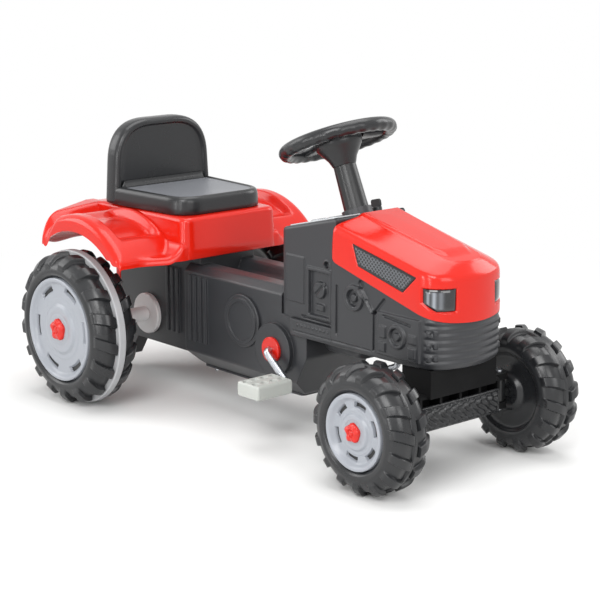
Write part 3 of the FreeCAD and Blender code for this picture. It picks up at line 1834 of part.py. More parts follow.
def rear_deck():
    wheel_space = Vector(x_at(guard_centre_reach), deck_half - deck_wall - overrun, guard_centre_height)
    skin = guard_radius - guard_dip
    arch = rod(wheel_space, wheel_space + across * (guard_half - deck_half + 3 * overrun), skin - deck_wall)
    sides = []
    for side in (1, -1):
        cover = guard_sector(skin, skin - deck_wall, deck_half - deck_wall, guard_half)
        lip = guard_sector(
            guard_radius, guard_radius - guard_lip_depth, guard_half - guard_lip_width, guard_half
        )
        pod = pod_body(0).cut(arch).cut(pod_body(deck_wall))
        seat, out = pod_face()
        boss = rod(seat - out * (tail_lamp_sink + deck_wall), seat, tail_lamp_radius + deck_wall)
        boss = boss.common(pod_body(0))
        shape = joined(cover, lip, pod, boss)
        sides.append(shape if side > 0 else mirrored(shape))
    body = deck_body(0, 0).cut(deck_body(deck_wall, overrun))
    body = joined(body, *sides)
    seat, out = pod_face()
    pocket = rod(seat - out * tail_lamp_sink, seat + out * overrun, tail_lamp_radius + seam)
    space = deck_body(deck_wall, overrun).common(block(
        x_at(deck_rear_reach), x_at(deck_front_reach), -deck_half + deck_wall, deck_half - deck_wall,
        0, deck_top_height - deck_wall,
    ))
    return body.cut(pair(pocket)).cut(space)


def seat_rails():
    foot = deck_top_height
    rail = block(
        x_at(rail_rear_reach), x_at(rail_front_reach), rail_half - rail_width / 2, rail_half + rail_width / 2,
        foot, foot + rail_height,
    )
    catch = block(
        x_at(rail_front_reach), x_at(rail_front_reach) + rail_stop,
        rail_half - rail_width / 2 - play - guide_thickness, rail_half + rail_width / 2,
        foot, foot + rail_height,
    )
    return pair(joined(rail, catch))


def seat_plan(inset):
    rear = x_at(seat_rear_reach) + inset
    front = x_at(seat_front_reach) - inset
    return [
        (rear, -seat_rear_half + inset), (front, -seat_front_half + inset),
        (front, seat_front_half - inset), (rear, seat_rear_half - inset),
    ]


def seat_body(inset):
    foot = deck_top_height + (play if not inset else -overrun)
    top = seat_height - inset
    base = upright(seat_plan(inset), [seat_edge_round, seat_round, seat_round, seat_edge_round], foot, top)
    if not inset:
        base = base.makeFillet(seat_wall, [e for e in base.Edges if e.BoundBox.ZMin > top - play])
    half = seat_rear_half - inset
    right = [
        (half, foot),
        (back_shoulder_half - inset, back_shoulder_height - inset),
        (back_crown_half, back_crown_height - inset),
    ]
    points = right + [(-y, z) for y, z in reversed(right)]
    start = x_at(seat_rear_reach) + inset
    depth = back_front_reach - seat_rear_reach - 2 * inset
    back = prism(points, [0, back_round, back_round, back_round, back_round, 0], on_yz(start), forward * depth)
    return base.fuse(back).removeSplitter()


def seat():
    body = seat_body(0).cut(seat_body(seat_wall))
    guides = []
    start = rail_half - rail_width / 2 - play - guide_thickness
    for y in (start, -start - guide_thickness):
        guides.append(block(
            x_at(rail_rear_reach), x_at(rail_front_reach) - seat_travel - play, y, y + guide_thickness,
            deck_top_height + play, seat_height - seat_wall / 2,
        ))
    return joined(body, *guides)


# hitch


def hitch_ear(foot):
    pin = Vector(x_at(hitch_pin_reach), 0, foot)
    tip = Part.makeCylinder(hitch_ear_radius, hitch_ear_thickness, pin)
    arm = block(
        pin.x, x_at(hitch_rear_reach) + hitch_round, -hitch_ear_radius, hitch_ear_radius,
        foot, foot + hitch_ear_thickness,
    )
    return tip.fuse(arm)


def hitch_bracket():
    front = x_at(hitch_front_reach)
    rear = x_at(hitch_rear_reach)
    body = sideways(
        rectangle(rear, front, hitch_foot_height, hitch_top_height),
        [hitch_round, 0, 0, hitch_round], hitch_half,
    )
    tip = x_at(hitch_tongue_tip_reach)
    tongue = sideways(
        [
            (front, hitch_foot_height),
            (front, hitch_foot_height + hitch_round),
            (rear + hitch_tongue_thickness, hitch_foot_height + hitch_round),
            (tip, hitch_tongue_tip_height + hitch_tongue_thickness / 2),
            (tip, hitch_tongue_tip_height),
            (tip + hitch_tongue_thickness, hitch_tongue_tip_height),
        ],
        [0, 0, 0, hitch_round, hitch_round, hitch_round], hitch_tongue_half,
    )
    body = joined(body, tongue, hitch_ear(hitch_upper_ear_height), hitch_ear(hitch_lower_ear_height))
    bore = rod(
        Vector(x_at(hitch_pin_reach), 0, 0), Vector(x_at(hitch_pin_reach), 0, pin_top_height),
        hitch_pin_radius + run_clearance,
    )
    return body.cut(bore)


def hitch_pin():
    x = x_at(hitch_pin_reach)
    seat = hitch_upper_ear_height + hitch_ear_thickness
    stem = rod(Vector(x, 0, pin_foot_height), Vector(x, 0, pin_top_height - pin_head_radius), hitch_pin_radius)
    tip = [e for e in stem.Edges if e.BoundBox.ZMax < pin_foot_height + play]
    stem = stem.makeChamfer(hitch_pin_radius / 3, tip)
    collar = rod(Vector(x, 0, seat + play), Vector(x, 0, seat + play + pin_collar_thickness), pin_collar_radius)
    head = rod(Vector(x, 0, pin_top_height - pin_head_length), Vector(x, 0, pin_top_height), pin_head_radius)
    rims = [e for e in head.Edges if e.BoundBox.ZLength < play]
    head = head.makeFillet(pin_head_radius / 2, rims)
    return joined(stem, collar, head)


bonnet, side_grille, headlight = bonnet_and_inserts()
crank_sprocket, rear_sprocket = sprockets()
rear_disc = wheel_disc(rear_centre, rear_rim_radius, rear_outer)
front_disc = wheel_disc(front_centre, front_rim_radius, front_outer)
rear_cap = wheel_cap(rear_centre, rear_cap_radius, rear_outer, rear_cap_proud)
front_cap = wheel_cap(front_centre, front_cap_radius, front_outer, front_cap_proud)
band = rear_band(rear_radius)
front_wheel_tyre = front_tyre()
knuckle = steering_knuckle()
stub = stub_axle()

parts = {
    "main_hull": main_hull(),
    "belly_cover": belly_cover(),
    "belly_screws": belly_screws(),
    "side_covers": side_covers(),
    "tail_knob": tail_knob(),
    "crank_bushes": crank_bushes(),
    "rear_axle_bushes": rear_axle_bushes(),
    "engine_housing": engine_housing(),
    "dash_console": dash_console(),
    "dash_panel": dash_panel(),
    "column_collar": column_collar(),
    "bonnet": bonnet,
    "side_grille_left": side_grille,
    "side_grille_right": mirrored(side_grille),
    "headlight_left": headlight,
    "headlight_right": mirrored(headlight),
    "front_axle_beam": front_axle_beam(),
    "kingpins": kingpins(),
    "rear_deck": rear_deck(),
    "tail_lamp_left": tail_lamp(),
    "tail_lamp_right": mirrored(tail_lamp()),
    "seat_rails": seat_rails(),
    "hitch_bracket": hitch_bracket(),
    "drive_chain": drive_chain(),
    "steering_wheel": steering_wheel(),
    "column_sleeve": column_sleeve(),
    "steering_shaft": steering_shaft(),
    "horn_spring": horn_spring(),
    "horn_button": horn_button(),
    "ignition_key": ignition_key(),
    "steering_knuckle_left": knuckle,
    "steering_knuckle_right": mirrored(knuckle),
    "stub_axle_left": stub,
    "stub_axle_right": mirrored(stub),
    "tie_rod": tie_rod(),
    "front_tyre_left": front_wheel_tyre,
    "front_tyre_right": mirrored(front_wheel_tyre),
    "front_disc_left": front_disc,
    "front_disc_right": mirrored(front_disc),
    "front_cap_left": front_cap,
    "front_cap_right": mirrored(front_cap),
    "rear_axle": rear_axle(),
    "rear_sprocket": rear_sprocket,
    "axle_spacers": axle_spacers(),
    "axle_nuts": axle_nuts(),
    "rear_tyre_left": rear_tyre(axle_radius + run_clearance),
    "rear_tyre_right": mirrored(rear_tyre(axle_radius)),
    "rear_band_left": band,
    "rear_band_right": mirrored(band),
    "rear_disc_left": rear_disc,
    "rear_disc_right": mirrored(rear_disc),
    "rear_cap_left": rear_cap,
    "rear_cap_right": mirrored(rear_cap),
    "pedal_crank": pedal_crank(),
    "crank_sprocket": crank_sprocket,
    "pedal_left": pedal(1),
    "pedal_right": pedal(-1),
    "hitch_pin": hitch_pin(),
    "seat": seat(),
}

os.makedirs("parts", exist_ok=True)
for name, shape in parts.items():
    shape.exportStep("parts/" + name + ".step")
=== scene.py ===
import json
import math

import bmesh
import bpy
import numpy as np
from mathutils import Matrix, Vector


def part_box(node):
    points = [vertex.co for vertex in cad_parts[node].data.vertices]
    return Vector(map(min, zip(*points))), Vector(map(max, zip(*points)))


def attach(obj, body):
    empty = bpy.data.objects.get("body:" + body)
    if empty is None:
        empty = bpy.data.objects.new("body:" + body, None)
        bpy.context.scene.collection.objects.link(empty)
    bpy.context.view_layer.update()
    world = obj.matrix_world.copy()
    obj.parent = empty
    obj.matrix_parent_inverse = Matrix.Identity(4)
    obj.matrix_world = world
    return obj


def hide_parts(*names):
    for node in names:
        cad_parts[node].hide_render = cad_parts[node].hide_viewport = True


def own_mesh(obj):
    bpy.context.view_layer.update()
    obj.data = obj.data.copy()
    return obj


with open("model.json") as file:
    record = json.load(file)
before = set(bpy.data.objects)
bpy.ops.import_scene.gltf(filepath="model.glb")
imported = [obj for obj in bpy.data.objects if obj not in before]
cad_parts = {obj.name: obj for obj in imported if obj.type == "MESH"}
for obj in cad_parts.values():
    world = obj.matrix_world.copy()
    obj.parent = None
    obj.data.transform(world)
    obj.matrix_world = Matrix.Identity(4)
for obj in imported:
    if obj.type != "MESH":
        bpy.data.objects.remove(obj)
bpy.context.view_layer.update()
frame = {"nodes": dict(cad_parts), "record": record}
nodes = frame["nodes"]
mm = 0.001    # sizes below are millimetres, the scene is in metres
print("frame loaded,", len(nodes), "nodes")


def smoothStep(value):
    # 3 v^2 - 2 v^3 of a value that is held between 0 and 1
    value = np.clip(value, 0, 1)
    return value * value * (3 - 2 * value)


def softMax(first, second, blend):
    # the larger of two heights, rounded over where they are closer than blend
    near = np.clip(0.5 + (first - second) / (2 * blend), 0, 1)
    return second + (first - second) * near + blend * near * (1 - near)


def edgeDrop(inside, reach):
    # quarter circle: 1 on an edge, down to 0 at the distance reach inside it
    return 1 - np.sqrt(1 - (1 - np.clip(inside / reach, 0, 1)) ** 2)


def flattened(value, power):
    # a power of the value's size, with its sign kept
    return np.sign(value) * np.abs(value) ** power


def fullTurn(count):
    # even angles once round
    return np.linspace(0, 2 * np.pi, count, endpoint=False)


def respaced(line, count):
    # the same closed line with its points at even distances
    closed = np.vstack([line, line[:1]])
    run = np.concatenate([[0], np.cumsum(np.linalg.norm(np.diff(closed, axis=0), axis=1))])
    stops = np.linspace(0, run[-1], count, endpoint=False)
    return np.stack([np.interp(stops, run, closed[:, k]) for k in range(closed.shape[1])], 1)


def smoothLoop(corners, rounds, count, steps=14):
    # closed outline: each corner is cut back by its round, bridged by a parabola, and the line spaced evenly
    corners = np.array(corners, float)
    rounds = np.broadcast_to(rounds, len(corners))[:, None]
    back = np.roll(corners, 1, 0) - corners
    ahead = np.roll(corners, -1, 0) - corners
    start = corners + back / np.linalg.norm(back, axis=1, keepdims=True) * rounds
    end = corners + ahead / np.linalg.norm(ahead, axis=1, keepdims=True) * rounds
    t = np.linspace(0, 1, steps)[None, :, None]
    arcs = (1 - t) ** 2 * start[:, None] + 2 * t * (1 - t) * corners[:, None] + t ** 2 * end[:, None]
    return respaced(arcs.reshape(-1, 2), count)


def fourCorners(x0, half0, x1, half1):
    # plan that is two half0 wide at x0 and two half1 wide at x1
    return [(x0, -half0), (x1, -half1), (x1, half1), (x0, half0)]


def nosedPlan(size, rounds, count):
    # plan with straight sides and a front that comes to a rounded nose
    sides = fourCorners(size["rear"], size["rearHalf"], size["corner"], size["cornerHalf"])
    return smoothLoop(sides[:2] + [(size["nose"], 0)] + sides[2:], rounds, count)


def leftOf(loop):
    # unit normal on the left of each point's direction of travel
    along = np.roll(loop, -1, 0) - np.roll(loop, 1, 0)
    along /= np.linalg.norm(along, axis=1, keepdims=True)
    return np.stack([-along[:, 1], along[:, 0]], 1)


def drawnIn(corners, inset):
    # the outline's corners moved in so that every side moves by the same inset
    corners = np.array(corners, float)
    ahead = np.roll(corners, -1, 0) - corners
    ahead /= np.linalg.norm(ahead, axis=1, keepdims=True)
    left = np.stack([-ahead[:, 1], ahead[:, 0]], 1)
    before = np.roll(left, 1, 0)
    return corners + inset * (left + before) / (1 + (left * before).sum(1, keepdims=True))


def ringed(corners, rounds, rings, middle, count):
    # rings of one outline as (inset, height, share): drawn in by the inset, then to the middle by the share
    inset, height, share = np.array(rings, float).T
    rounds = np.array(rounds, float)
    rounds = [np.maximum(rounds - by * 0.8, 0.6) for by in inset]
    flat = np.stack([smoothLoop(drawnIn(corners, by), cut, count) for by, cut in zip(inset, rounds)])
    flat = flat + (np.array(middle, float) - flat) * share[:, None, None]
    return np.dstack([flat, np.broadcast_to(height[:, None], flat.shape[:2])])


def stacked(rows, count):
    # a grid from (flat outline, height) pairs
    return np.stack([np.column_stack([flat, np.broadcast_to(z, count)]) for flat, z in rows])


def pushedIn(line, inward, inset, z):
    # a wall on an outline, at the heights z and moved along the outline's normal by the inset
    return np.dstack([line[None, :, k] + inward[None, :, k] * inset for k in (0, 1)] + [z])


def gridFaces(rows, columns, wrapRows, wrapColumns):
    # one four-sided face between neighbouring rows and columns, the last joined to the first where it wraps
    index = np.arange(rows * columns).reshape(rows, columns)
    if wrapRows:
        index = np.vstack([index, index[:1]])
    if wrapColumns:
        index = np.hstack([index, index[:, :1]])
    return np.stack([index[:-1, :-1], index[1:, :-1], index[1:, 1:], index[:-1, 1:]], -1).reshape(-1, 4)


def putPiece(name, sheets, look, body, stands=(), crease=42):
    # sheets are grids of points in mm with their wraps; doubles at seams are merged, faces turned outwards
    points, faces, start = [], [], 0
    for grid, wrapRows, wrapColumns in sheets:
        rows, columns = grid.shape[:2]
        points.append(grid.reshape(-1, 3))
        faces.append(gridFaces(rows, columns, wrapRows, wrapColumns) + start)
        start += rows * columns
    mesh = bpy.data.meshes.new(name)
    mesh.from_pydata((np.vstack(points) * mm).tolist(), [], np.vstack(faces).tolist())
    work = bmesh.new()
    work.from_mesh(mesh)
    bmesh.ops.remove_doubles(work, verts=work.verts, dist=1e-6)
    bmesh.ops.recalc_face_normals(work, faces=work.faces)
    work.to_mesh(mesh)
    work.free()
    mesh.shade_smooth()
    mesh.set_sharp_from_angle(angle=math.radians(crease))
    mesh.materials.append(finish[look])
    piece = bpy.data.objects.new(name, mesh)
    bpy.context.scene.collection.objects.link(piece)
    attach(piece, body)
    if stands:
        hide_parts(*stands)
    return piece


def dressPart(piece, look, rule):
    # a second finish for the faces that a rule picks, from their middles in mm and their normals
    mesh = piece.data
    count = len(mesh.polygons)
    middle, normal = np.zeros(count * 3), np.zeros(count * 3)
    mesh.polygons.foreach_get("center", middle)
    mesh.polygons.foreach_get("normal", normal)
    mesh.materials.append(finish[look])
    picked = rule(middle.reshape(-1, 3) / mm, normal.reshape(-1, 3))
    mesh.polygons.foreach_set("material_index", picked.astype(np.int32))


def setTone(piece, rule):
    # writes a tone for each point, from a rule on the points' places in mm
    mesh = piece.data
    place = np.zeros(len(mesh.vertices) * 3)
    mesh.vertices.foreach_get("co", place)
    layer = mesh.attributes.new("tone", "FLOAT", "POINT")
    layer.data.foreach_set("value", rule(place.reshape(-1, 3) / mm).astype(np.float32))


def twoFaced(front, back):
    # a closed plate from its front and back grids: the rows run over the front and return over the back
    front, back = front.copy(), back.copy()
    edge = (front + back) / 2
    front[:, [0, -1]] = back[:, [0, -1]] = edge[:, [0, -1]]
    return np.concatenate([front, back[::-1]]), True, False


def mirrored(sheets):
    # the same sheets with y turned to -y
    return [(grid * np.array([1, -1, 1]), wrapRows, wrapColumns) for grid, wrapRows, wrapColumns in sheets]


def bothSides(*sheets):
    # the left side's sheets as they are, the right side's mirrored
    return ("left", list(sheets)), ("right", mirrored(sheets))


def turned(profile, centre, axis, count=96):
    # a profile of (along axis, radius) points turned about an axis through the centre
    axis = np.array(axis, float) / np.linalg.norm(axis)
    side = np.cross(axis, (0, 0, 1) if abs(axis[2]) < 0.9 else (1, 0, 0))
    side /= np.linalg.norm(side)
    other = np.cross(axis, side)
    angle = fullTurn(count)[None, :, None]
    along, radius = (np.array(column, float)[:, None, None] for column in zip(*profile))
    ring = side * np.cos(angle) + other * np.sin(angle)
    return np.array(centre, float) + axis * along + radius * ring, False, True


# finishes


def toLinear(hexCode):
    # sRGB hex text to the linear colour that a shader socket takes
    srgb = np.array([int(hexCode[k:k + 2], 16) for k in (1, 3, 5)]) / 255
    linear = np.where(srgb <= 0.04045, srgb / 12.92, ((srgb + 0.055) / 1.055) ** 2.4)
    return (*linear.tolist(), 1.0)


def addNode(tree, kind, settings=None, links=None):
    # one node: settings go to its sockets where they have that name, otherwise to its properties
    node = tree.nodes.new(kind)
    for name, value in (settings or {}).items():
        if isinstance(name, int) or name in node.inputs:
            node.inputs[name].default_value = value
        else:
            setattr(node, name, value)
    for name, source in (links or {}).items():
        tree.links.new(source, node.inputs[name])
    return node


def newFinish(name, values):
    # a material with these values on its shader, and with it the tree, the shader and the place on the object
    material = bpy.data.materials.new(name)
    material.use_nodes = True
    tree = material.node_tree
    shader = tree.nodes["Principled BSDF"]
    for socket, value in values.items():
        shader.inputs[socket].default_value = value
    return material, tree, shader, addNode(tree, "ShaderNodeTexCoord").outputs["Object"]


def mouldedPlastic(name, colour, rough, grain, deep, shift, ripple=0.0, soft=0.0, coat=0.0, ior=1.5):
    # moulded polymer: even colour with faint flow marks, a fine grain in the bump, gloss that wanders
    material, tree, shader, place = newFinish(name, {"IOR": ior, "Coat Weight": coat, "Coat Roughness": 0.08})
    flow = addNode(tree, "ShaderNodeTexNoise", {"Scale": 1 / 0.09, "Detail": 3.0}, {"Vector": place})
    flow = flow.outputs["Fac"]
    base = np.array(toLinear(colour))
    darker, lighter = base * (1 - shift), np.minimum(base * (1 + shift), 1)
    darker[3] = lighter[3] = 1
    colours = {"data_type": "RGBA", 6: tuple(darker), 7: tuple(lighter)}
    tint = addNode(tree, "ShaderNodeMix", colours, {0: flow})
    tree.links.new(tint.outputs[2], shader.inputs["Base Color"])
    span = {"From Min": 0.3, "From Max": 0.7, "To Min": rough * 0.88, "To Max": rough * 1.14}
    gloss = addNode(tree, "ShaderNodeMapRange", span, {"Value": flow})
    tree.links.new(gloss.outputs["Result"], shader.inputs["Roughness"])
    pitted = {"Scale": 1 / (grain * mm), "Detail": 2.0, "Roughness": 0.6}
    pits = addNode(tree, "ShaderNodeTexNoise", pitted, {"Vector": place}).outputs["Fac"]
    bump = addNode(tree, "ShaderNodeBump", {"Strength": 1.0, "Distance": deep * mm}, {"Height": pits})
    first = bump
    if ripple:    # thin blown walls shrink a little as they cool, seen as slow waves in the highlights
        wave = addNode(tree, "ShaderNodeTexNoise", {"Scale": 1 / 0.07, "Detail": 1.0}, {"Vector": place})
        slow = {"Strength": 1.0, "Distance": ripple * mm}
        first = addNode(tree, "ShaderNodeBump", slow, {"Height": wave.outputs["Fac"]})
        tree.links.new(first.outputs["Normal"], bump.inputs["Normal"])
    if soft:    # edges of the moulding are never sharp
        edge = addNode(tree, "ShaderNodeBevel", {"samples": 6, "Radius": soft * mm})
        tree.links.new(edge.outputs["Normal"], first.inputs["Normal"])
    tree.links.new(bump.outputs["Normal"], shader.inputs["Normal"])
    return material


def platedSteel(name, colour, rough, soft=0.6):
    # zinc plated or blackened steel: a cloudy plating that shifts colour and gloss, and softened edges
    material, tree, shader, place = newFinish(name, {"Metallic": 1.0})
    cloud = addNode(tree, "ShaderNodeTexNoise", {"Scale": 1 / 0.012, "Detail": 4.0}, {"Vector": place})
    cloud = cloud.outputs["Fac"]
    base = np.array(toLinear(colour))
    dull = base * 0.8
    dull[3] = 1
    tint = addNode(tree, "ShaderNodeMix", {"data_type": "RGBA", 6: tuple(dull), 7: tuple(base)}, {0: cloud})
    tree.links.new(tint.outputs[2], shader.inputs["Base Color"])
    span = {"To Min": rough * 0.8, "To Max": rough * 1.3}
    gloss = addNode(tree, "ShaderNodeMapRange", span, {"Value": cloud})
    tree.links.new(gloss.outputs["Result"], shader.inputs["Roughness"])
    edge = addNode(tree, "ShaderNodeBevel", {"samples": 6, "Radius": soft * mm})
    bump = addNode(tree, "ShaderNodeBump", {"Strength": 1.0, "Distance": 0.02 * mm},
                   {"Height": cloud, "Normal": edge.outputs["Normal"]})
    tree.links.new(bump.outputs["Normal"], shader.inputs["Normal"])
    return material


def tonedPlastic(name, dark, light, rough, coat):
    # two tones under a clear face: the piece's own tone value picks between the dark and the bright, which on
    # the headlights is painted reflection
    values = {"Roughness": rough, "Coat Weight": coat, "Coat Roughness": 0.05}
    material, tree, shader, place = newFinish(name, values)
    tone = addNode(tree, "ShaderNodeAttribute", {"attribute_name": "tone"}).outputs["Fac"]
    speck = addNode(tree, "ShaderNodeTexNoise", {"Scale": 1 / (3 * mm), "Detail": 2.0}, {"Vector": place})
    speck = speck.outputs["Fac"]
    vary = addNode(tree, "ShaderNodeMath", {"operation": "MULTIPLY_ADD", 1: 0.06, 2: -0.03}, {0: speck})
    mixed = addNode(tree, "ShaderNodeMath", {"operation": "ADD"}, {0: tone, 1: vary.outputs["Value"]})
    tint = addNode(tree, "ShaderNodeMix", {"data_type": "RGBA", 6: toLinear(dark), 7: toLinear(light)},
                   {0: mixed.outputs["Value"]})
    tree.links.new(tint.outputs[2], shader.inputs["Base Color"])
    bump = addNode(tree, "ShaderNodeBump", {"Strength": 1.0, "Distance": 0.03 * mm}, {"Height": speck})
    tree.links.new(bump.outputs["Normal"], shader.inputs["Normal"])
    return material


# colour, roughness, grain and its depth in mm, share of colour shift
# and, where they aren't nothing, depth of slow waves and round of edges in mm, coat, index of refraction
mouldings = {
    "redBlownHdpe": ("#cf1d0d", 0.17, 5.0, 0.04, 0.04, 0.3, 0.0, 0.0, 1.45),    # polished tool: glossy
    "redMouldedPp": ("#ca1c0f", 0.26, 3.0, 0.03, 0.04, 0.0, 1.0),
    # fine spark-eroded grain, which drawn true to size would not show, so about 2 mm here
    "blackGrainedPp": ("#1d1e20", 0.29, 2.2, 0.05, 0.08),
    "grainAndPaintedSheenPp": ("#74767b", 0.38, 3.0, 0.5, 0.12),    # coarser grain on the seat's floor, and a lighter grey there as painted sheen on its level top
    "charcoalBlownHdpe": ("#2b2c2f", 0.37, 2.6, 0.07, 0.08, 0.3, 2.0),
    "blackMouldedPp": ("#161718", 0.31, 2.4, 0.05, 0.08, 0.0, 1.2),
    "pittedBlackPp": ("#1b1c1e", 0.30, 7.0, 0.9, 0.15),    # coarse face of the front beam
    "shadeBlackPp": ("#070708", 0.75, 3.0, 0.10, 0.10, 0.0, 0.0, 0.0, 1.3),    # near-black painted shade on the beam's body under the nose
    "tyreBlownPe": ("#202123", 0.29, 3.0, 0.10, 0.10, 0.25),
    "silverFlakePp": ("#999da4", 0.34, 1.8, 0.04, 0.05, 0.0, 1.2, 0.25),    # aluminium flake, a soft silver
    "greyMouldedPp": ("#a9aaac", 0.40, 2.2, 0.05, 0.06, 0.0, 1.2),
    "paleMouldedPp": ("#b5b8b3", 0.42, 2.2, 0.05, 0.06, 0.0, 1.2),
    # pale grey for the axle spacers and bushes, painted light
    "paintedLightGreyPp": ("#dedcdc", 0.36, 2.2, 0.05, 0.04, 0.0, 1.2),
    "grilleMouldedPp": ("#3a3c40", 0.45, 2.0, 0.05, 0.08, 0.0, 0.8),
    "paleFoilPet": ("#cfd2d5", 0.26, 4.0, 0.02, 0.03),    # foil label: pale, smooth and bright
    "amberPs": ("#f07c18", 0.12, 4.0, 0.02, 0.05, 0.0, 1.0, 0.6, 1.59),
}
finish = {name: mouldedPlastic(name, *look) for name, look in mouldings.items()}
finish["zincPlatedSteel"] = platedSteel("zincPlatedSteel", "#c9ccd1", 0.26)
finish["blackenedSteel"] = platedSteel("blackenedSteel", "#4c4e52", 0.42)
finish["smokedPs"] = tonedPlastic("smokedPs", "#121316", "#8f949b", 0.1, 0.8)    # clear face over a dark foil, with painted reflections as bright upright bands
finish["meshPp"] = tonedPlastic("meshPp", "#151618", "#5d6064", 0.4, 0.0)    # mesh, pale on its ridges and dark between them
print("finishes made")

slotFinish = {
    "dark_plastic": "charcoalBlownHdpe", "black_plastic": "blackMouldedPp", "red_plastic": "redMouldedPp",
    "tyre_plastic": "tyreBlownPe", "silver_plastic": "silverFlakePp", "grey_plastic": "greyMouldedPp",
    "grille_plastic": "grilleMouldedPp", "smoked_plastic": "grilleMouldedPp", "amber_plastic": "amberPs",
    "pedal_plastic": "paleMouldedPp", "zinc_steel": "zincPlatedSteel", "dark_steel": "blackenedSteel",
}
slotOf = {entry["node"]: entry["material_slot"] for entry in frame["record"]["subparts"]}
for name, obj in nodes.items():
    obj.data.materials.clear()
    obj.data.materials.append(finish[slotFinish[slotOf[name]]])
for name in ("axle_spacers", "rear_axle_bushes"):    # painted paler than the tread bands of the same slot, as painted light on parts that sit in shade
    nodes[name].data.materials[0] = finish["paintedLightGreyPp"]
print("solids dressed")

# wheels

rearTyre = {
    "axle": (-301, 132), "inner": 166, "outer": 250, "rim": 89, "carcass": 122, "shoulder": 16, "bar": 8,
    "barThick": 15, "bars": 17, "skew": 24, "halfBand": 7, "bore": 6.4, "rib": 0, "slotHalf": 4.4,
    "slotTurn": 0.45, "slotFloor": 11.2, "cap": 19, "capProud": 5,
}
frontTyre = {
    "axle": (377, 98), "inner": 126, "outer": 199, "rim": 58, "carcass": 91, "shoulder": 14, "bar": 7,
    "barThick": 12, "bars": 15, "skew": 24, "halfBand": 5, "bore": 5.4, "rib": 3.5, "slotHalf": 3.4,
    "slotTurn": 0.2, "slotFloor": 11.2, "cap": 15, "capProud": 4,
}


def aboutAxle(size, radius, across, angle):
    # points at a radius from the wheel's axle, their angle counted from straight up towards the front
    x, z = size["axle"]
    return np.dstack([x + radius * np.sin(angle), across, z + radius * np.cos(angle)])


def tyreSheet(size, count=200):
    # the wall's outline, in (across, radius), turned round the axle; bars stand off it along its normal
    # the turn has a phase that slants across the tread, so the grid's own lines run along the bars' edges
    inner, outer, rim, top, cut = (size[k] for k in ("inner", "outer", "rim", "carcass", "shoulder"))
    band = size["halfBand"]
    middle = (inner + outer) / 2
    half = (outer - inner) / 2
    corners = [
        (inner, size["bore"]), (inner, 24), (inner + 7, 31), (inner + 7, rim), (inner, rim + 6),
        (inner, top - cut), (inner + cut, top), (outer - cut, top), (outer, top - cut), (outer, rim + 6),
        (outer - 6, rim), (outer - 12.8, rim), (outer - 12.8, size["bore"]),
    ]
    loop = smoothLoop(corners, [0.1, 2, 3, 4, 3, 9, 9, 9, 9, 3, 3, 0.5, 0.1], count)
    out = leftOf(loop)
    away = np.abs(loop[:, 0] - middle)
    tread = smoothStep((away - band) / 2) * smoothStep((loop[:, 1] - (top - cut - 2)) / 5)
    tread = tread * (out[:, 1] > -0.3)
    rib = size["rib"] * smoothStep((band - away) / 2.2) * (loop[:, 1] > top - 1)
    bead = 0.9 * smoothStep(1 - np.abs(loop[:, 1] - (rim + 12)) / 2.4) * (away > half - 1)
    pitch = 2 * np.pi / size["bars"]
    wide = size["barThick"] / math.cos(math.radians(size["skew"])) / (pitch * top)
    soft = 2.6 / (pitch * top)
    left = 0.5 - wide / 2 - soft
    climb = left + soft * np.array([0.25, 0.5, 0.75, 1.0])
    flat = 0.5 - wide / 2 + wide * np.array([0.2, 0.5])
    one = np.concatenate([left * np.array([0, 0.3, 0.6, 0.85, 1]), climb, flat])
    phase = np.concatenate([one, 1 - one[1:-1][::-1]])
    bar = np.tile(smoothStep((wide / 2 + soft - np.abs(phase - 0.5)) / soft), size["bars"])
    turn = ((np.arange(size["bars"])[:, None] + phase[None]) * pitch).ravel()
    slant = math.tan(math.radians(size["skew"])) * (half / 2 - away) / top
    slant = slant + pitch / 2 * (1 - smoothStep((loop[:, 0] - middle + band * 0.9) / (band * 1.8)))
    angle = turn[:, None] + slant[None]
    rise = size["bar"] * bar[:, None] * tread[None] + rib[None] + bead[None]
    radius = loop[None, :, 1] + out[None, :, 1] * rise
    across = loop[None, :, 0] + out[None, :, 0] * rise * 0.4
    return aboutAxle(size, radius, np.clip(across, inner - 1, outer + 1), angle), True, True


def discSheet(size, count=360):
    # dished web between a rolled lip and a raised middle, as (radius, across) turned round the axle
    # six long slots are sunk in the web
    edge, rim, half = size["rim"] - 0.3, size["rim"], size["slotHalf"]
    lip = [
        (0, -12.8), (0, -3), (0.6, -1.2), (2, -0.2), (3.6, 0), (5.4, -0.4), (7, -1.8), (9, -4.4),
        (10.6, -6.4), (12, -7.4), (13.4, -7.7),
    ]
    boss = [
        (0.49, -6.6), (0.475, -5.6), (0.455, -4.2), (0.44, -3.4), (0.42, -3), (0.33, -3), (0.32, -3.5),
        (0.30, -3.5), (0.29, -3),
    ]
    web = np.linspace(edge - 14, rim * 0.5, 26)
    profile = np.vstack([
        [(edge - inset, across) for inset, across in lip],
        np.column_stack([web, -7.7 + 0.9 * smoothStep((rim * 0.60 - web) / 1.4)]),
        [(rim * share, across) for share, across in boss], [(13.4, -3), (13, -3.4), (13, -12.8)],
    ])
    angle = fullTurn(count)[None]
    radius, across = profile[:, :1], profile[:, 1:]
    near = np.abs((angle + np.pi / 6) % (np.pi / 3) - np.pi / 6)
    slot = np.minimum(rim * 0.2 - near * radius, half - np.abs(radius - edge + 13.5 + half))
    sunk = 4.4 * smoothStep(slot / 1.2 + 0.5) * (across > -12)
    return aboutAxle(size, radius, size["outer"] + across - sunk, angle + size["slotTurn"]), True, True


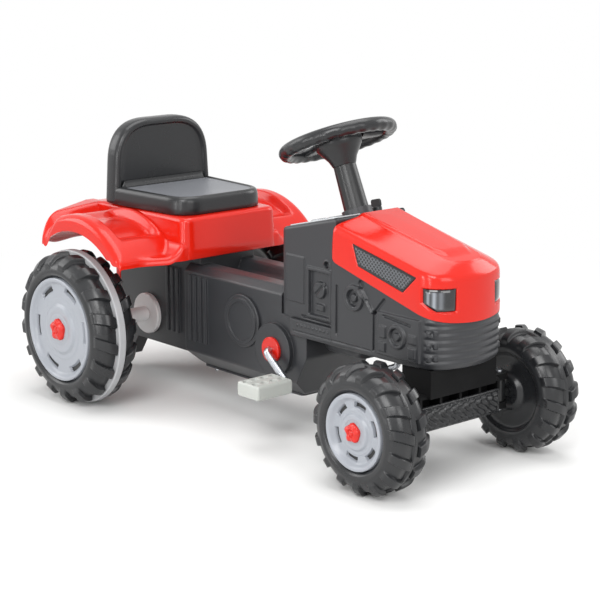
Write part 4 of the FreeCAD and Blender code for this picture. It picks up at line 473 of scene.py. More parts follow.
def capSheet(size, lobes=5, count=120):
    # low dome with rounded lobes and a sunk ring, as shares of (radius, height) turned round the axle
    shape = np.array([
        (0, 0), (1, 0), (1, 0.45), (0.985, 0.62), (0.94, 0.78), (0.86, 0.9), (0.74, 0.97), (0.6, 1),
        (0.48, 1), (0.42, 0.92), (0.37, 0.7), (0.31, 0.7), (0.26, 0.88), (0.2, 0.96), (0.1, 1), (0, 1),
    ])
    angle = fullTurn(count)[None]
    reach, rise = shape[:, :1], shape[:, 1:]
    valley = (0.5 - 0.5 * np.cos(lobes * angle)) * smoothStep((reach - 0.4) / 0.5)
    radius = size["cap"] * reach * (1 - 0.1 * valley)
    across = size["outer"] - 3 + rise * (3 + size["capProud"]) - 2.4 * valley * (rise > 0.4)
    return aboutAxle(size, radius, across, angle), False, True


def slotShadeFloors(size):
    # picks the level faces at the bottom of a disc's slots, painted black as the shade seen through the
    # openings
    level, half = size["outer"] - size["slotFloor"] - 0.7, 0.7
    return lambda place, normal: (np.abs(np.abs(place[:, 1]) - level) < half) & (np.abs(normal[:, 1]) > 0.7)


wheelPieces = (
    ("Tyre", tyreSheet, "tyreBlownPe", "tyre_plastic", 34),
    ("Disc", discSheet, "silverFlakePp", "silver_plastic", 32),
    ("Cap", capSheet, "redMouldedPp", "red_plastic", 40),
)
for kind, sheetOf, look, slot, crease in wheelPieces:
    for size, end in ((rearTyre, "rear"), (frontTyre, "front")):
        for side, sheets in bothSides(sheetOf(size)):
            body = f"{end}_wheel_{side}" if (end, side) != ("rear", "right") else "rear_drive"
            node = f"{end}_{kind.lower()}_{side}"
            piece = putPiece(f"{end}{kind}_{side}", sheets, look, body, (node,), crease)
            if kind == "Disc":
                # the slots' floors are black, painted shade standing for the dark seen through the openings
                dressPart(piece, "blackMouldedPp", slotShadeFloors(size))
    print(f"{kind.lower()}s moulded")

# rear deck with its mudguards and lamp pods

deck = {
    "rear": -429, "front": -135, "half": 104, "top": 326, "foot": 256, "rearFoot": 292, "edge": 8,
    "root": 100.5, "archX": -293, "archZ": 160, "arch": 165, "under": 146.5, "outer": 217, "frontTip": -161,
    "frontRoot": -138, "podOuter": -391, "podFoot": 264, "podTop": 313, "dip": 15, "leafRear": -352,
    "leafFront": -190, "leafInner": 105, "roll": 14, "tailRoll": 28, "rearRound": 5, "frontRound": 9,
    "skirt": 9, "skirtFrom": 262, "tailDrop": 5, "tailFrom": -368, "tailRollFrom": -342, "podFront": -396,
    "podTip": 180, "fillet": 20, "filletOuter": 132, "filletWide": 28, "filletRear": -262,
    "ramp": (-405, -173),
}


def deckTub(count=420):
    # rounded box without a floor: the plan outline carried up inside, round the foot, up the wall, over the
    # edge and to the middle; the foot climbs towards the rear
    d = deck
    corners = fourCorners(d["rear"], d["half"], d["front"], d["half"])
    bend = np.radians(np.linspace(0, 90, 9))
    rings = [(7, 0, 1)] + [(inset, 0, 0) for inset in (7, 7, 3, 1, 0, 1.1, 2.3, 3.4)]
    rings += [(3.8 + d["edge"] * (1 - math.cos(angle)), 0, 0) for angle in bend]
    rings += [(15, 0, share) for share in (0, 0.2, 0.5, 0.8, 1)]
    grid = ringed(corners, [16, 22, 22, 16], rings, ((d["rear"] + d["front"]) / 2, 0), count)
    x = grid[..., 0]
    foot = np.interp(x, d["ramp"], [d["rearFoot"], d["foot"]])
    top = d["top"] - d["tailDrop"] * smoothStep((d["tailFrom"] - x) / 60)
    wall = top - d["edge"] - foot
    z = foot.copy()
    z[:2] = d["top"] - d["edge"] - d["tailDrop"]
    z[4:9] += np.array([[0.4], [2], [0], [0], [0]]) + np.array([[0], [0], [0.3], [0.6], [0.9]]) * wall[4:9]
    z[9:18] = top[9:18] - d["edge"] + d["edge"] * np.sin(bend)[:, None]
    z[18:] = top[18:]
    grid[..., 2] = z
    return grid, False, True


def mudguard(along=160):
    # for each station across, a closed loop: the top line from rear to front and the underside back again
    # the top is the arch over the wheel, raised at the rear to the lamp pod and rolled down at the outer rim
    # a leaf-shaped hollow lies beside the deck, and in front of it a small fillet meets the deck's wall
    d = deck
    outer = d["outer"]
    rim = outer - 44 + 44 * np.sin(np.radians(np.linspace(2, 90, 44)))
    y = np.concatenate([[84], np.linspace(85, outer - 46, 46), rim, [outer]])[:, None]
    share = np.clip((y - d["root"]) / (outer - d["root"]), 0, 1)
    rear = d["rear"] + share * (d["podOuter"] - d["rear"])
    front = d["frontTip"] + (d["frontRoot"] - d["frontTip"]) * (1 - smoothStep(share * 1.4))
    run = np.linspace(0, 1, along)[None]
    x = rear + (run + 0.06 * np.sin(2 * np.pi * run) / np.pi) * (front - rear)
    square = (x - d["archX"]) ** 2
    archTop = d["archZ"] + np.sqrt(np.maximum(d["arch"] ** 2 - square, 60 ** 2))
    archUnder = d["archZ"] + np.sqrt(np.maximum(d["under"] ** 2 - square, 40 ** 2))
    pod = d["top"] - 3 + share * (d["podTop"] - d["top"] + 3) - 70 * smoothStep((x - d["podFront"]) / 54)
    z = softMax(archTop, pod, 14)
    fillet = np.clip((d["filletOuter"] - y) / d["filletWide"], 0, 1) ** 2
    fillet = fillet * smoothStep((x - d["filletRear"]) / 80)
    z = softMax(z, d["foot"] + 8 + d["fillet"] * fillet, 8)
    leaf = smoothStep((x - d["leafRear"]) / 46) * smoothStep((d["leafFront"] - x) / 30)
    leaf = leaf * smoothStep((outer - 25 - y) / 10) * smoothStep((y - d["leafInner"]) / 11)
    roll = d["roll"] + d["tailRoll"] * smoothStep((d["tailRollFrom"] - x) / 46)
    roll = np.minimum(roll, 6 + 60 * smoothStep((front - x) / 60))
    z = z - d["dip"] * leaf - roll * edgeDrop(outer - y, roll)
    z = z - d["rearRound"] * edgeDrop(x - rear, d["rearRound"])
    z = z - d["frontRound"] * edgeDrop(front - x, d["frontRound"])
    tip = d["podFoot"] - 5 * smoothStep(1 - np.abs(y - d["podTip"]) / 40)
    under = np.where(x < d["archX"], softMax(archUnder, tip, 5), softMax(archUnder, d["foot"], 4))
    under = under - d["skirt"] * smoothStep((y - outer + 9) / 5) * smoothStep((under - d["skirtFrom"]) / 12)
    under = np.minimum(under, z - 3)
    wide = np.broadcast_to(y, x.shape)
    topLine, lowLine = np.dstack([x, wide, z]), np.dstack([x, wide, under])
    topLine[[0, -1]] = lowLine[[0, -1]] = (topLine[[0, -1]] + lowLine[[0, -1]]) / 2
    return np.concatenate([topLine, lowLine[:, ::-1]], 1), False, True


guard = mudguard()
deckSheets = [deckTub(), guard] + mirrored([guard])
putPiece("rearDeck", deckSheets, "redBlownHdpe", "chassis", ("rear_deck",), 50)
print("deck moulded")

# seat

seat = {
    "front": -155, "rearHalf": 108, "frontHalf": 92, "foot": 326.4, "top": 357, "backFront": -327,
    "backRear": -361, "backHalf": 106, "shoulderHalf": 97, "crown": 471, "archRise": 26, "archHalf": 86,
    "cove": 12, "coveHalf": 90, "panMiddle": (-250, 0), "backMiddle": (0, 432),
}


def seatPan(count=360):
    # plan outline carried from the foot up the skirt, over a thin raised rim, and in to a dished floor
    s = seat
    foot, top = s["foot"], s["top"]
    tuck = s["backFront"] - 15    # the pan ends inside the back
    rim = (
        (0.4, 19), (0.9, 10), (1.3, 7), (2.4, 4), (4.2, 1.6), (6.4, 0.3), (8.6, 0), (10.2, 0.4),
        (11.4, 1.4), (12.6, 2), (15, 2.2),
    )
    floor = ((2.5, 0.15), (3, 0.35), (3.4, 0.6), (3.6, 0.85), (3.6, 1))
    rings = [(3, foot, 1), (3, foot, 0.5), (3, foot, 0), (0.8, foot + 0.4, 0), (0, foot + 2, 0)]
    rings += [(inset, top - drop, 0) for inset, drop in rim]
    rings += [(15, top - drop, share) for drop, share in floor]
    corners = fourCorners(tuck, s["rearHalf"] - 3, s["front"], s["frontHalf"])
    return ringed(corners, [12, 44, 44, 12], rings, s["panMiddle"], count), False, True


def seatBack(count=420):
    # upright outline with a broad arched top, carried from the sunk front panel, over its border and round
    # the edge to the smooth rear, whose foot is raised in an arch
    s = seat
    wide, shoulder, foot, crown = s["backHalf"], s["shoulderHalf"], s["foot"], s["crown"]
    corners = [(-wide, foot), (wide, foot), (shoulder, crown), (-shoulder, crown)]
    front, rear = s["backFront"], s["backRear"]
    border = (
        (12.8, 3.6), (11.8, 1.6), (10.8, 0.4), (9.4, 0), (7, 0), (4.6, 0.7), (2.4, 2.6), (0.9, 6),
        (0, 11), (0, 16.9), (0, 17),
    )
    rings = [(14, front - 4.2, share) for share in (1, 0.7, 0.4, 0.15, 0)]
    rings += [(inset, front - drop, 0) for inset, drop in border]
    rings += [(inset, rear + drop, 0) for inset, drop in ((0, 10), (0.8, 6), (2.6, 2.6), (6, 0.6))]
    rings += [(10, rear, share) for share in (0, 0.15, 0.5, 0.8, 1)]
    widest, behind = 13, 15    # which rings are the outermost and the first of the rear half
    grid = ringed(corners, [6, 6, 70, 70], rings, s["backMiddle"], count)
    outer = grid[widest, :, :2]
    arch = s["archRise"] * smoothStep((s["archHalf"] - np.abs(outer[:, 0])) / 58) * (outer[:, 1] < foot + 1)
    share = np.array([ring[2] for ring in rings])[behind:, None]
    grid[behind:, :, 1] += arch[None] * (1 - share)
    return grid[..., [2, 0, 1]], False, True


def seatCove(count=40):
    # small cove that eases the pan's floor into the back, one profile carried from side to side
    front, bend = seat["backFront"], seat["cove"]
    floor = seat["top"] - 2.8
    angle = np.radians(np.linspace(0, 90, 9))
    x = np.concatenate([front + bend - bend * np.sin(angle), [front - 3, front - 3]])
    z = np.concatenate([floor + bend - bend * np.cos(angle), [floor + bend, floor - 4.2]])
    y = np.linspace(-seat["coveHalf"], seat["coveHalf"], count)[:, None]
    grid = np.dstack(np.broadcast_arrays(x, y, z))
    grid[[0, -1], :, 0] = front - 2
    grid[[0, -1], :, 2] = floor - 0.2
    return grid, False, True


def onSeatFloor(place, normal):
    # picks the level faces inside the rim and in front of the back
    x, z, top = place[:, 0], place[:, 2], seat["top"]
    return (normal[:, 2] > 0.93) & (z < top - 1.4) & (z > top - 7) & (x > seat["backFront"] + 5)


seatSheets = [seatPan(), seatBack(), seatCove()]
seatShell = putPiece("seatShell", seatSheets, "blackGrainedPp", "seat", ("seat",), 46)
# the level floor is a lighter grey, painted sheen, with a coarser grain
dressPart(seatShell, "grainAndPaintedSheenPp", onSeatFloor)
print("seat moulded")

# bonnet with its grilles and headlights

bonnet = {
    "rear": 201, "corner": 415, "nose": 443, "rearHalf": 83, "cornerHalf": 79, "foot": (308, 240),
    "crease": (362, 307), "crown": (380, 322), "lean": 1.6, "pocket": 3.0, "panelRear": 208,
    "panelFront": 400, "panelHalf": (42, 34), "panelRise": 4, "grilleUp": (0.29, 0.80),
    "grilleRear": (0.28, 0.22), "grilleFront": (0.72, 0.84), "mesh": 7.0, "lampRear": 392, "lampInner": 40,
    "lampFoot": 260, "lampTop": 295, "lampClimb": 13, "lampBend": 413, "bend": (383, 46), "eave": 8,
    "spine": (246, 398), "flick": (7, 15),
    "bands": ((0.98, 0.07, 0.8), (0.72, 0.09, 1), (0.45, 0.10, 0.45)),    # bearing, width and strength of the headlights' painted reflection bands
}
sideRun = bonnet["corner"] - bonnet["rear"]


def bonnetLine(name, x):
    # height of a line along the bonnet, straight from its rear to its nose
    share = (x - bonnet["rear"]) / (bonnet["nose"] - bonnet["rear"])
    return bonnet[name][0] + share * (bonnet[name][1] - bonnet[name][0])


def lampFoot(x):
    # the headlight's lower edge, which climbs towards its rear end
    bend = bonnet["lampBend"]
    return bonnet["lampFoot"] + bonnet["lampClimb"] * np.clip((bend - x) / (bend - bonnet["lampRear"]), 0, 1)


def cornerBearing(x, y):
    # bearing round the front corner, counted from straight ahead
    return np.arctan2(np.abs(y) - bonnet["bend"][1], x - bonnet["bend"][0])


def bonnetPlan(count):
    # the bonnet's plan outline at its foot
    return nosedPlan(bonnet, [9, 34, 48, 34, 9], count)


def inGrille(along, rise, tall):
    # distance inside the grille's slanted outline, from the shares along and up the bonnet's side
    up, rear, ahead = (bonnet[k] for k in ("grilleUp", "grilleRear", "grilleFront"))
    return np.minimum.reduce([
        (rise - up[0]) * tall, (up[1] - rise) * tall,
        (along - np.interp(rise, up, rear)) * sideRun, (np.interp(rise, up, ahead) - along) * sideRun,
    ])


def meshRidge(x, z):
    # the higher of two slanted cosine waves that cross
    pitch = bonnet["mesh"]
    return np.maximum(np.cos(2 * np.pi * (x + z) / pitch), np.cos(2 * np.pi * (x - z) / pitch))


def bonnetShell(count=560, wallRows=52):
    # plan outline carried up the wall and over a rounded crease to the crown, then drawn to the middle line
    # the grilles and headlights sit in shallow pockets of the wall, and a soft-edged panel is on the crown
    b = bonnet
    loop = bonnetPlan(count)
    inward = leftOf(loop)
    spine = np.stack([np.clip(loop[:, 0], *b["spine"]), np.zeros(count)], 1)
    up = np.linspace(0, 1, wallRows)[:, None]
    x, y = loop[None, :, 0], loop[None, :, 1]
    foot, crease = bonnetLine("foot", x), bonnetLine("crease", x)
    lift, reach = b["flick"]    # the foot curls up at the rear
    foot = foot + lift * np.clip((b["rear"] + reach - x) / reach, 0, 1) ** 2
    z = foot + up * (crease - b["eave"] - foot)
    tall = crease - foot
    grille = inGrille((x - b["rear"]) / sideRun, (z - foot) / tall, tall)
    flat = np.minimum(x - b["lampRear"], np.abs(y) - b["lampInner"])
    lamp = np.minimum(flat, np.minimum(z - lampFoot(x), b["lampTop"] - z))
    sunk = b["pocket"] * smoothStep((np.maximum(grille, lamp) + 0.6) / 1.2) * smoothStep((1 - up) / 0.05)
    wall = pushedIn(loop, inward, b["lean"] * up ** 2 + sunk, z)
    over = np.array([
        (0.4, -7.2), (1.2, -4.2), (2.6, -1.6), (4.8, 0.7), (8, 2.8), (13, 5.4), (20, 8.8), (28, 12.6),
        (35, 15.8), (39, 17.2), (43, 18),
    ])
    start = (loop + inward * b["lean"])[None]
    flat = start + (spine[None] - start) * (over[:, :1, None] / b["rearHalf"])
    low, high = bonnetLine("crease", flat[..., 0]), bonnetLine("crown", flat[..., 0])
    eave = np.dstack([flat, low + over[:, 1:] * ((high - low) / over[-1, 1])])
    share = np.linspace(over[-1, 0] / b["rearHalf"], 1, 34)[1:, None, None]
    roof = start + (spine[None] - start) * share
    roof = np.dstack([roof, bonnetLine("crown", roof[..., 0]) + 1.2 * share[..., 0]])
    top = np.concatenate([eave, roof])
    x, y = top[..., 0], np.abs(top[..., 1])
    half = np.interp(x, (b["panelRear"], b["panelFront"]), b["panelHalf"])
    inside = np.minimum(half - y, (b["panelFront"] - x) / 4 - np.maximum(y - half + 16, 0) ** 2 / 40)
    top[..., 2] += b["panelRise"] * smoothStep(np.minimum(inside, x - b["panelRear"]) / 6)
    floor = [loop + (spine - loop) * share for share in (1.0, 0.5, 0.05)]
    floor = stacked([(flat, bonnetLine("foot", flat[:, 0]) + 1) for flat in floor], count)
    return np.concatenate([floor, wall, top]), False, True


def grillePlate(rows=61, columns=141, long=105, tall=34):
    # slanted four-sided plate on the bonnet's side, with a flat border and a mesh of crossed ridges inside
    b = bonnet
    v, u = np.meshgrid(np.linspace(0, 1, rows), np.linspace(0, 1, columns), indexing="ij")
    rise = b["grilleUp"][0] + v * (b["grilleUp"][1] - b["grilleUp"][0])
    rear, ahead = (np.interp(rise, b["grilleUp"], b[k]) for k in ("grilleRear", "grilleFront"))
    x = b["rear"] + sideRun * (rear + u * (ahead - rear))
    foot, crease = bonnetLine("foot", x), bonnetLine("crease", x)
    z = foot + rise * (crease - foot)
    side = b["rearHalf"] - (x - b["rear"]) / sideRun * (b["rearHalf"] - b["cornerHalf"])
    edge = np.minimum.reduce([u * long, (1 - u) * long, v * tall, (1 - v) * tall])
    deep = 0.5 + smoothStep(edge - 3) * (1.6 - 0.9 * smoothStep((meshRidge(x, z) - 0.2) / 0.7))
    front = np.dstack([x, side - b["lean"] * rise ** 2 - deep, z])
    return twoFaced(front, front - np.array([0, 3.2, 0]))


def lampLens(rows=33, columns=91):
    # strip of the bonnet's outline round the corner, a little crowned, sunk at its edges
    b = bonnet
    line = bonnetPlan(6000)
    keep = (line[:, 1] > b["lampInner"] + 0.6) & (line[:, 0] > b["lampRear"] + 0.6)
    line, inward = line[keep], leftOf(line)[keep]
    pick = np.linspace(0, len(line) - 1, columns).astype(int)
    line, inward = line[pick], inward[pick]
    v, u = np.meshgrid(np.linspace(0, 1, rows), np.linspace(0, 1, columns), indexing="ij")
    foot = lampFoot(line[None, :, 0]) + 0.6
    z = foot + v * (b["lampTop"] - 0.6 - foot)
    crown = (1 - (2 * u - 1) ** 8) * (1 - (2 * v - 1) ** 6)
    front = pushedIn(line, inward, 2.6 - 2.4 * crown + 0.8, z)
    return twoFaced(front, pushedIn(line, inward, np.full_like(z, 5), z))


def grilleTone(place):
    # pale on the mesh's ridges, dark between them and on the border
    x, z = place[:, 0], place[:, 2]
    foot, crease = bonnetLine("foot", x), bonnetLine("crease", x)
    edge = inGrille((x - bonnet["rear"]) / sideRun, (z - foot) / (crease - foot), 60)
    return smoothStep(edge - 3.4) * smoothStep((meshRidge(x, z) - 0.1) / 0.7)


def lampReflectionTone(place):
    # painted reflections as upright bright bands, placed by their bearing round the corner, inside a dark
    # border
    x, y, z = place.T
    bearing = cornerBearing(x, y)
    band = sum(bright * np.exp(-((bearing - at) / wide) ** 2) for at, wide, bright in bonnet["bands"])
    border = smoothStep((z - lampFoot(x) - 4) / 2) * smoothStep((bonnet["lampTop"] - 4 - z) / 2)
    return np.clip(band, 0, 1) * border


putPiece("bonnetShell", [bonnetShell()], "redBlownHdpe", "chassis", ("bonnet",), 60)
for side, (grille, lens) in bothSides(grillePlate(), lampLens()):
    name, node = f"sideGrille_{side}", f"side_grille_{side}"
    setTone(putPiece(name, [grille], "meshPp", "chassis", (node,), 50), grilleTone)
    node = f"headlight_{side}"
    # the headlights' bright bands are painted reflections
    setTone(putPiece(node, [lens], "smokedPs", "chassis", (node,), 60), lampReflectionTone)
print("bonnet moulded")

# engine housing and dash console

engine = {
    "rear": 104, "step": 201, "floor": 172, "shelf": 200, "corner": 413.5, "nose": 440, "rearHalf": 81.6,
    "cornerHalf": 76, "pulley": (252, 257, 20), "block": (303, 390, 181, 246), "fan": (346, 214, 18),
    "fork": (294, 240), "prongs": ((0, -57, 2.2), (21, 24, 2.4), (-14, 18, 1.6)),
    "slit": ((213, 268), (213, 194)), "crack": ((318, 241), (372, 235)), "seam": ((110, 181), (286, 181)),
    "rivets": (124, 192, 8.6, 9), "rivet": 2.6,
    "pads": ((309, 323, 187, 202), (309, 323, 208, 226), (369, 384, 187, 203), (369, 384, 209, 222)),
    "louvrePitch": 10.4, "louvreFoot": 178, "noseFrom": 394, "nosePads": ((228, 209.5, 191), (0.92, 0.62)),
    "sideEnd": 400, "chin": 9, "chinRise": 12, "chinFrom": 350, "spine": (190, 380),
    "pan": (141, 235, 46, 148),
}
console = {
    "rear": 75, "front": 204, "half": 74, "foot": 200, "dashRear": 340, "dashRise": 31 / 126,
    "window": (145, 191, 213, 282), "knob": (168, 254, 13), "hole": (184, 296, 5), "slotLine": 205.5,
    "portHalf": 26, "port": (256, 318), "portDeep": 18, "portProud": 3.6, "panel": (60, 226, 300),
    "middle": (138, 0),
}


def plateau(depth, soft=1.6):
    # 1 well inside an outline, 0 well outside, eased over soft; depth is the distance inside
    return smoothStep(depth / soft + 0.5)


def inRectangle(x, z, low, high, foot, top):
    # distance inside a rectangle, from its nearest side
    return np.minimum.reduce([x - low, high - x, z - foot, top - z])


def fromLine(x, z, start, end):
    # distance from the straight line between two points
    (x0, z0), (x1, z1) = start, end
    along = np.clip(((x - x0) * (x1 - x0) + (z - z0) * (z1 - z0)) / ((x1 - x0) ** 2 + (z1 - z0) ** 2), 0, 1)
    return np.hypot(x - x0 - along * (x1 - x0), z - z0 - along * (z1 - z0))


def engineRelief(x, z):
    # how far the moulded engine stands off the side wall: pulley, belt, forked groove, block, fan, rivets
    e = engine
    px, pz, pr = e["pulley"]
    fx, fz, fr = e["fan"]
    fork = e["fork"]
    off, fan = np.hypot(x - px, z - pz), np.hypot(x - fx, z - fz)
    rise = 4.5 * plateau(pr - off) - 6 * plateau(pr * 0.64 - off) + 4.5 * plateau(pr * 0.3 - off)
    belt = fromLine(x, z, (px + 15, pz + 13), (fork[0] - 4, fork[1] + 3))
    rise += 3.4 * plateau(3.6 - belt) * plateau(off - pr + 4)
    rise -= 4 * plateau(6 - np.hypot(x - px - 14, z - pz - 23))
    for ahead, up, half in e["prongs"]:
        rise -= 3.2 * plateau(half - fromLine(x, z, fork, (fork[0] + ahead, fork[1] + up)))
    rise -= 3.2 * plateau(2.6 - fromLine(x, z, *e["slit"]))
    rise += 3.6 * plateau(np.minimum(inRectangle(x, z, *e["block"]), bonnetLine("foot", x) - 7 - z), 2)
    rise += 3.2 * plateau(fr - fan) - 4.2 * plateau(fr * 0.72 - fan) + 3.6 * plateau(fr * 0.34 - fan)
    rise -= 3 * plateau(1.8 - fromLine(x, z, *e["crack"]))
    for pad in e["pads"]:
        rise += 2.6 * plateau(inRectangle(x, z, *pad), 1.8)
    first, level, pitch, count = e["rivets"]
    nearest = np.clip(np.round((x - first) / pitch), 0, count - 1) * pitch + first
    rise += 2 * np.sqrt(np.clip(1 - (np.hypot(x - nearest, z - level) / e["rivet"]) ** 2, 0, 1))
    return rise - 1.6 * plateau(1.2 - fromLine(x, z, *e["seam"]))


def noseRelief(x, y, z):
    # louvres across the nose, as a cosine wave up its height, and three pairs of small pads at each corner
    e = engine
    inside = np.minimum(z - e["louvreFoot"], bonnetLine("foot", x) - 3 - z)
    ahead = smoothStep((x - e["noseFrom"]) / 6) * plateau(inside, 4)
    rise = 1.7 * (0.5 + 0.5 * np.cos(2 * np.pi * (z - e["floor"]) / e["louvrePitch"])) ** 0.7 * ahead
    bearing = cornerBearing(x, y)
    for row in e["nosePads"][0]:
        for column in e["nosePads"][1]:
            wide, tall = 3.6 - np.abs(bearing - column) * 40, 4.2 - np.abs(z - row + 6 * (column - 0.77))
            rise = np.maximum(rise, 3.4 * plateau(np.minimum(wide, tall), 2))
    return rise


def engineHousing(count=840, rows=104):
    # plan outline carried up from the floor to the bonnet's foot line, its relief pushed out along the normal
    e = engine
    loop = nosedPlan(e, [3, 30, 46, 30, 3], count)
    x, y = (np.broadcast_to(loop[None, :, k], (rows, count)) for k in (0, 1))
    roof = np.where(loop[:, 0] < e["step"], e["shelf"] - 0.4, bonnetLine("foot", loop[:, 0]) - 0.4)
    z = e["floor"] + np.linspace(0, 1, rows)[:, None] * (roof - e["floor"])[None]
    back = smoothStep((e["sideEnd"] - x) / 8)
    rise = engineRelief(x, z) * back * smoothStep((x - e["rear"] - 6) / 4) + noseRelief(x, y, z) * (1 - back)
    chin = e["chin"] * edgeDrop(z - e["floor"], e["chinRise"])
    chin = chin * (0.35 + 0.65 * smoothStep((x - e["chinFrom"]) / 60))
    wall = pushedIn(loop, leftOf(loop), chin - rise * smoothStep((roof[None] - z) / 3), z)
    low, high = wall[0, :, :2], wall[-1, :, :2]
    spine = np.column_stack([np.clip(loop[:, 0], *e["spine"]), np.zeros(count)])
    foot = [(low + (spine - low) * share, e["floor"]) for share in (1.0, 0.5, 0.1)]
    head = [(high + (spine - high) * share, roof) for share in (0.08, 0.16)] + [(spine, e["shelf"] - 0.4)]
    return np.concatenate([stacked(foot, count), wall, stacked(head, count)]), False, True


def oilPan(count=160):
    # shallow rounded tray under the housing: its plan outline carried from the floor's middle up the wall
    x0, x1, half, foot = engine["pan"]
    wall = ((16, 0), (10, 0), (4, 1.6), (1.2, 5), (0, 10), (0, 24.6))
    rings = [(16, foot, 1)] + [(inset, foot + up, 0) for inset, up in wall] + [(0, foot + 24.6, 1)]
    return ringed(fourCorners(x0, half, x1, half), 18, rings, ((x0 + x1) / 2, 0), count), False, True


def consoleRelief(x, z):
    # side of the console: raised panel, framed window with a slotted knob, slot below it, screw hole
    c = console
    x0, x1, z0, z1 = c["window"]
    kx, kz, kr = c["knob"]
    hx, hz, hr = c["hole"]
    knob, hole = np.hypot(x - kx, z - kz), np.hypot(x - hx, z - hz)
    rear, foot, top = c["panel"]
    rise = 2 * plateau(inRectangle(x, z, rear, x0 - 13, foot, top), 1.4)
    rise += 3 * plateau(inRectangle(x, z, x0 - 6, x1 + 6, z0 - 6, z1 + 6), 2)
    rise -= 6 * plateau(inRectangle(x, z, x0, x1, z0, z1), 2)
    rise += 5.5 * plateau(kr - knob, 2.4)
    rise -= 3 * plateau(2.0 - fromLine(x, z, (kx - 9, kz - 9), (kx + 9, kz + 9)))
    rise += 4 * plateau(inRectangle(x, z, kx - 9, kx + 9, z0 + 8, z0 + 18), 2)
    rise -= 3 * plateau(1.7 - fromLine(x, z, (x0 - 18, c["slotLine"]), (x1 + 2, c["slotLine"])))
    return rise - 7 * plateau(hr - hole, 1.4) + 1.2 * plateau(hr + 2.5 - hole, 1.4)


def dashHeight(x):
    # the dash slopes up evenly from its rear edge
    return console["dashRear"] + (x - console["rear"]) * console["dashRise"]


def dashConsole(count=640, rows=132):
    # plan outline carried up from the floor to the sloping dash, over a rounded edge and in to the middle
    # the sides carry their relief and the rear its framed recess
    c = console
    loop = smoothLoop(fourCorners(c["rear"], c["half"], c["front"], c["half"]), [14, 1, 1, 14], count)
    inward = leftOf(loop)
    x, y = (np.broadcast_to(loop[None, :, k], (rows, count)) for k in (0, 1))
    z = c["foot"] + np.linspace(0, 1, rows)[:, None] * (dashHeight(x) - 6 - c["foot"])
    side = smoothStep(np.abs(y) - c["half"] + 2)
    side = side * smoothStep((x - c["rear"] - 13) / 3) * smoothStep((c["front"] - 4 - x) / 2)
    port = np.minimum(c["portHalf"] - np.abs(y), np.minimum(z - c["port"][0], c["port"][1] - z))
    recess = c["portProud"] * plateau(port + 7, 2) - (c["portDeep"] + c["portProud"]) * plateau(port, 2)
    rise = consoleRelief(x, z) * side + recess * (x < c["rear"] + 2)
    middle = np.array(c["middle"], float)
    over = [(0.4, 3.6, 0), (1.6, 1.7, 0), (3.6, 0.4, 0)] + [(6, 0, share) for share in (0, 0.2, 0.5, 0.8, 1)]
    edge = []
    for inset, drop, share in over:
        flat = loop + inward * inset
        flat = flat + (middle - flat) * share
        edge.append((flat, dashHeight(flat[:, 0]) - drop))
    floor = stacked([(loop + (middle - loop) * share, c["foot"]) for share in (1.0, 0.5)], count)
    return np.concatenate([floor, pushedIn(loop, inward, -rise, z), stacked(edge, count)]), False, True


housings = (
    ("engineHousing", "engine_housing", [engineHousing(), oilPan()]),
    ("dashConsole", "dash_console", [dashConsole()]),
)
for name, node, sheets in housings:
    putPiece(name, sheets, "charcoalBlownHdpe", "chassis", (node,), 38)
print("engine moulded")

# dash label and dials

dial = {
    "lift": 2.0, "top": 3.3, "radius": 11, "bevel": 0.4, "ticks": (8.2, 10.2), "pivot": 1.6, "needle": 40,
    "sweep": 135, "halfTick": 2.2, "along": 0.34, "aside": (-0.52, 0, 0.52), "margin": 7,
}


def dialCentres():
    # on the sloping dash, set by shares of the label's length and half width
    d = dial
    low, high = (np.array(corner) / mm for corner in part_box("dash_panel"))
    x = low[0] + d["along"] * (high[0] - low[0])
    return np.array([(x, aside * (console["half"] - d["margin"]), dashHeight(x)) for aside in d["aside"]])


def dialMarks(place, normal):
    # polar place on the nearest dial: short ticks every 30 degrees of the sweep, one needle and its pivot
    d = dial
    gap = place[:, None] - centres[None]
    gap = gap[np.arange(len(place)), np.linalg.norm(gap, axis=2).argmin(1)]
    slope = np.cross((0, 1, 0), dashUp)
    aside, ahead = -gap[:, 1], gap @ slope
    reach, angle = np.hypot(aside, ahead), np.degrees(np.arctan2(aside, ahead))
    tick = (np.abs((angle + 15) % 30 - 15) < d["halfTick"]) & (np.abs(angle) < d["sweep"])
    tick &= (reach > d["ticks"][0]) & (reach < d["ticks"][1])
    needle = (np.abs(angle - d["needle"]) < 2 * d["halfTick"]) & (reach < d["ticks"][0])
    return (gap @ dashUp > d["top"] - 0.1) & (tick | needle | (reach < d["pivot"]))


centres = dialCentres()
dashUp = np.array([-console["dashRise"], 0, 1]) / math.hypot(console["dashRise"], 1)
lift, top, radius, bevel = (dial[k] for k in ("lift", "top", "radius", "bevel"))
face = [(lift, 0), (lift, radius), (top - bevel, radius), (top, radius - bevel)]
face += [(top, reach) for reach in (dial["ticks"][1], dial["ticks"][0], dial["pivot"], 0)]
dialSheets = [turned(face, centre, dashUp) for centre in centres]
dialFaces = putPiece("dialFaces", dialSheets, "grilleMouldedPp", "chassis", (), 40)
dressPart(dialFaces, "paleFoilPet", dialMarks)
nodes["dash_panel"].data.materials[0] = finish["paleFoilPet"]
print("dash dressed")

# steering wheel and horn

steering = {
    "centre": (127, 0, 476), "tilt": 23, "rim": 84.4, "grip": 11, "waves": 28, "hub": 38, "hubTop": 12,
    "foot": 19, "footDrop": 42, "spokes": (0, 105, 255), "spokeHalf": 13, "spokeThick": 6, "hornLong": 32.4,
    "hornWide": 23, "hornFoot": 6, "hornTop": 21, "bore": 5.6, "coil": 4.4, "wire": 0.6, "coilFoot": -5.1,
    "coilTop": 5.1, "turns": 5, "pressed": 0.72,
}


def onColumn(grid):
    # from the wheel's own plane to the frame: tipped back by the tilt and set at its centre
    tilt = math.radians(steering["tilt"])
    turn = np.array([[math.cos(tilt), 0, math.sin(tilt)], [0, 1, 0], [-math.sin(tilt), 0, math.cos(tilt)]])
    return grid @ turn + np.array(steering["centre"])


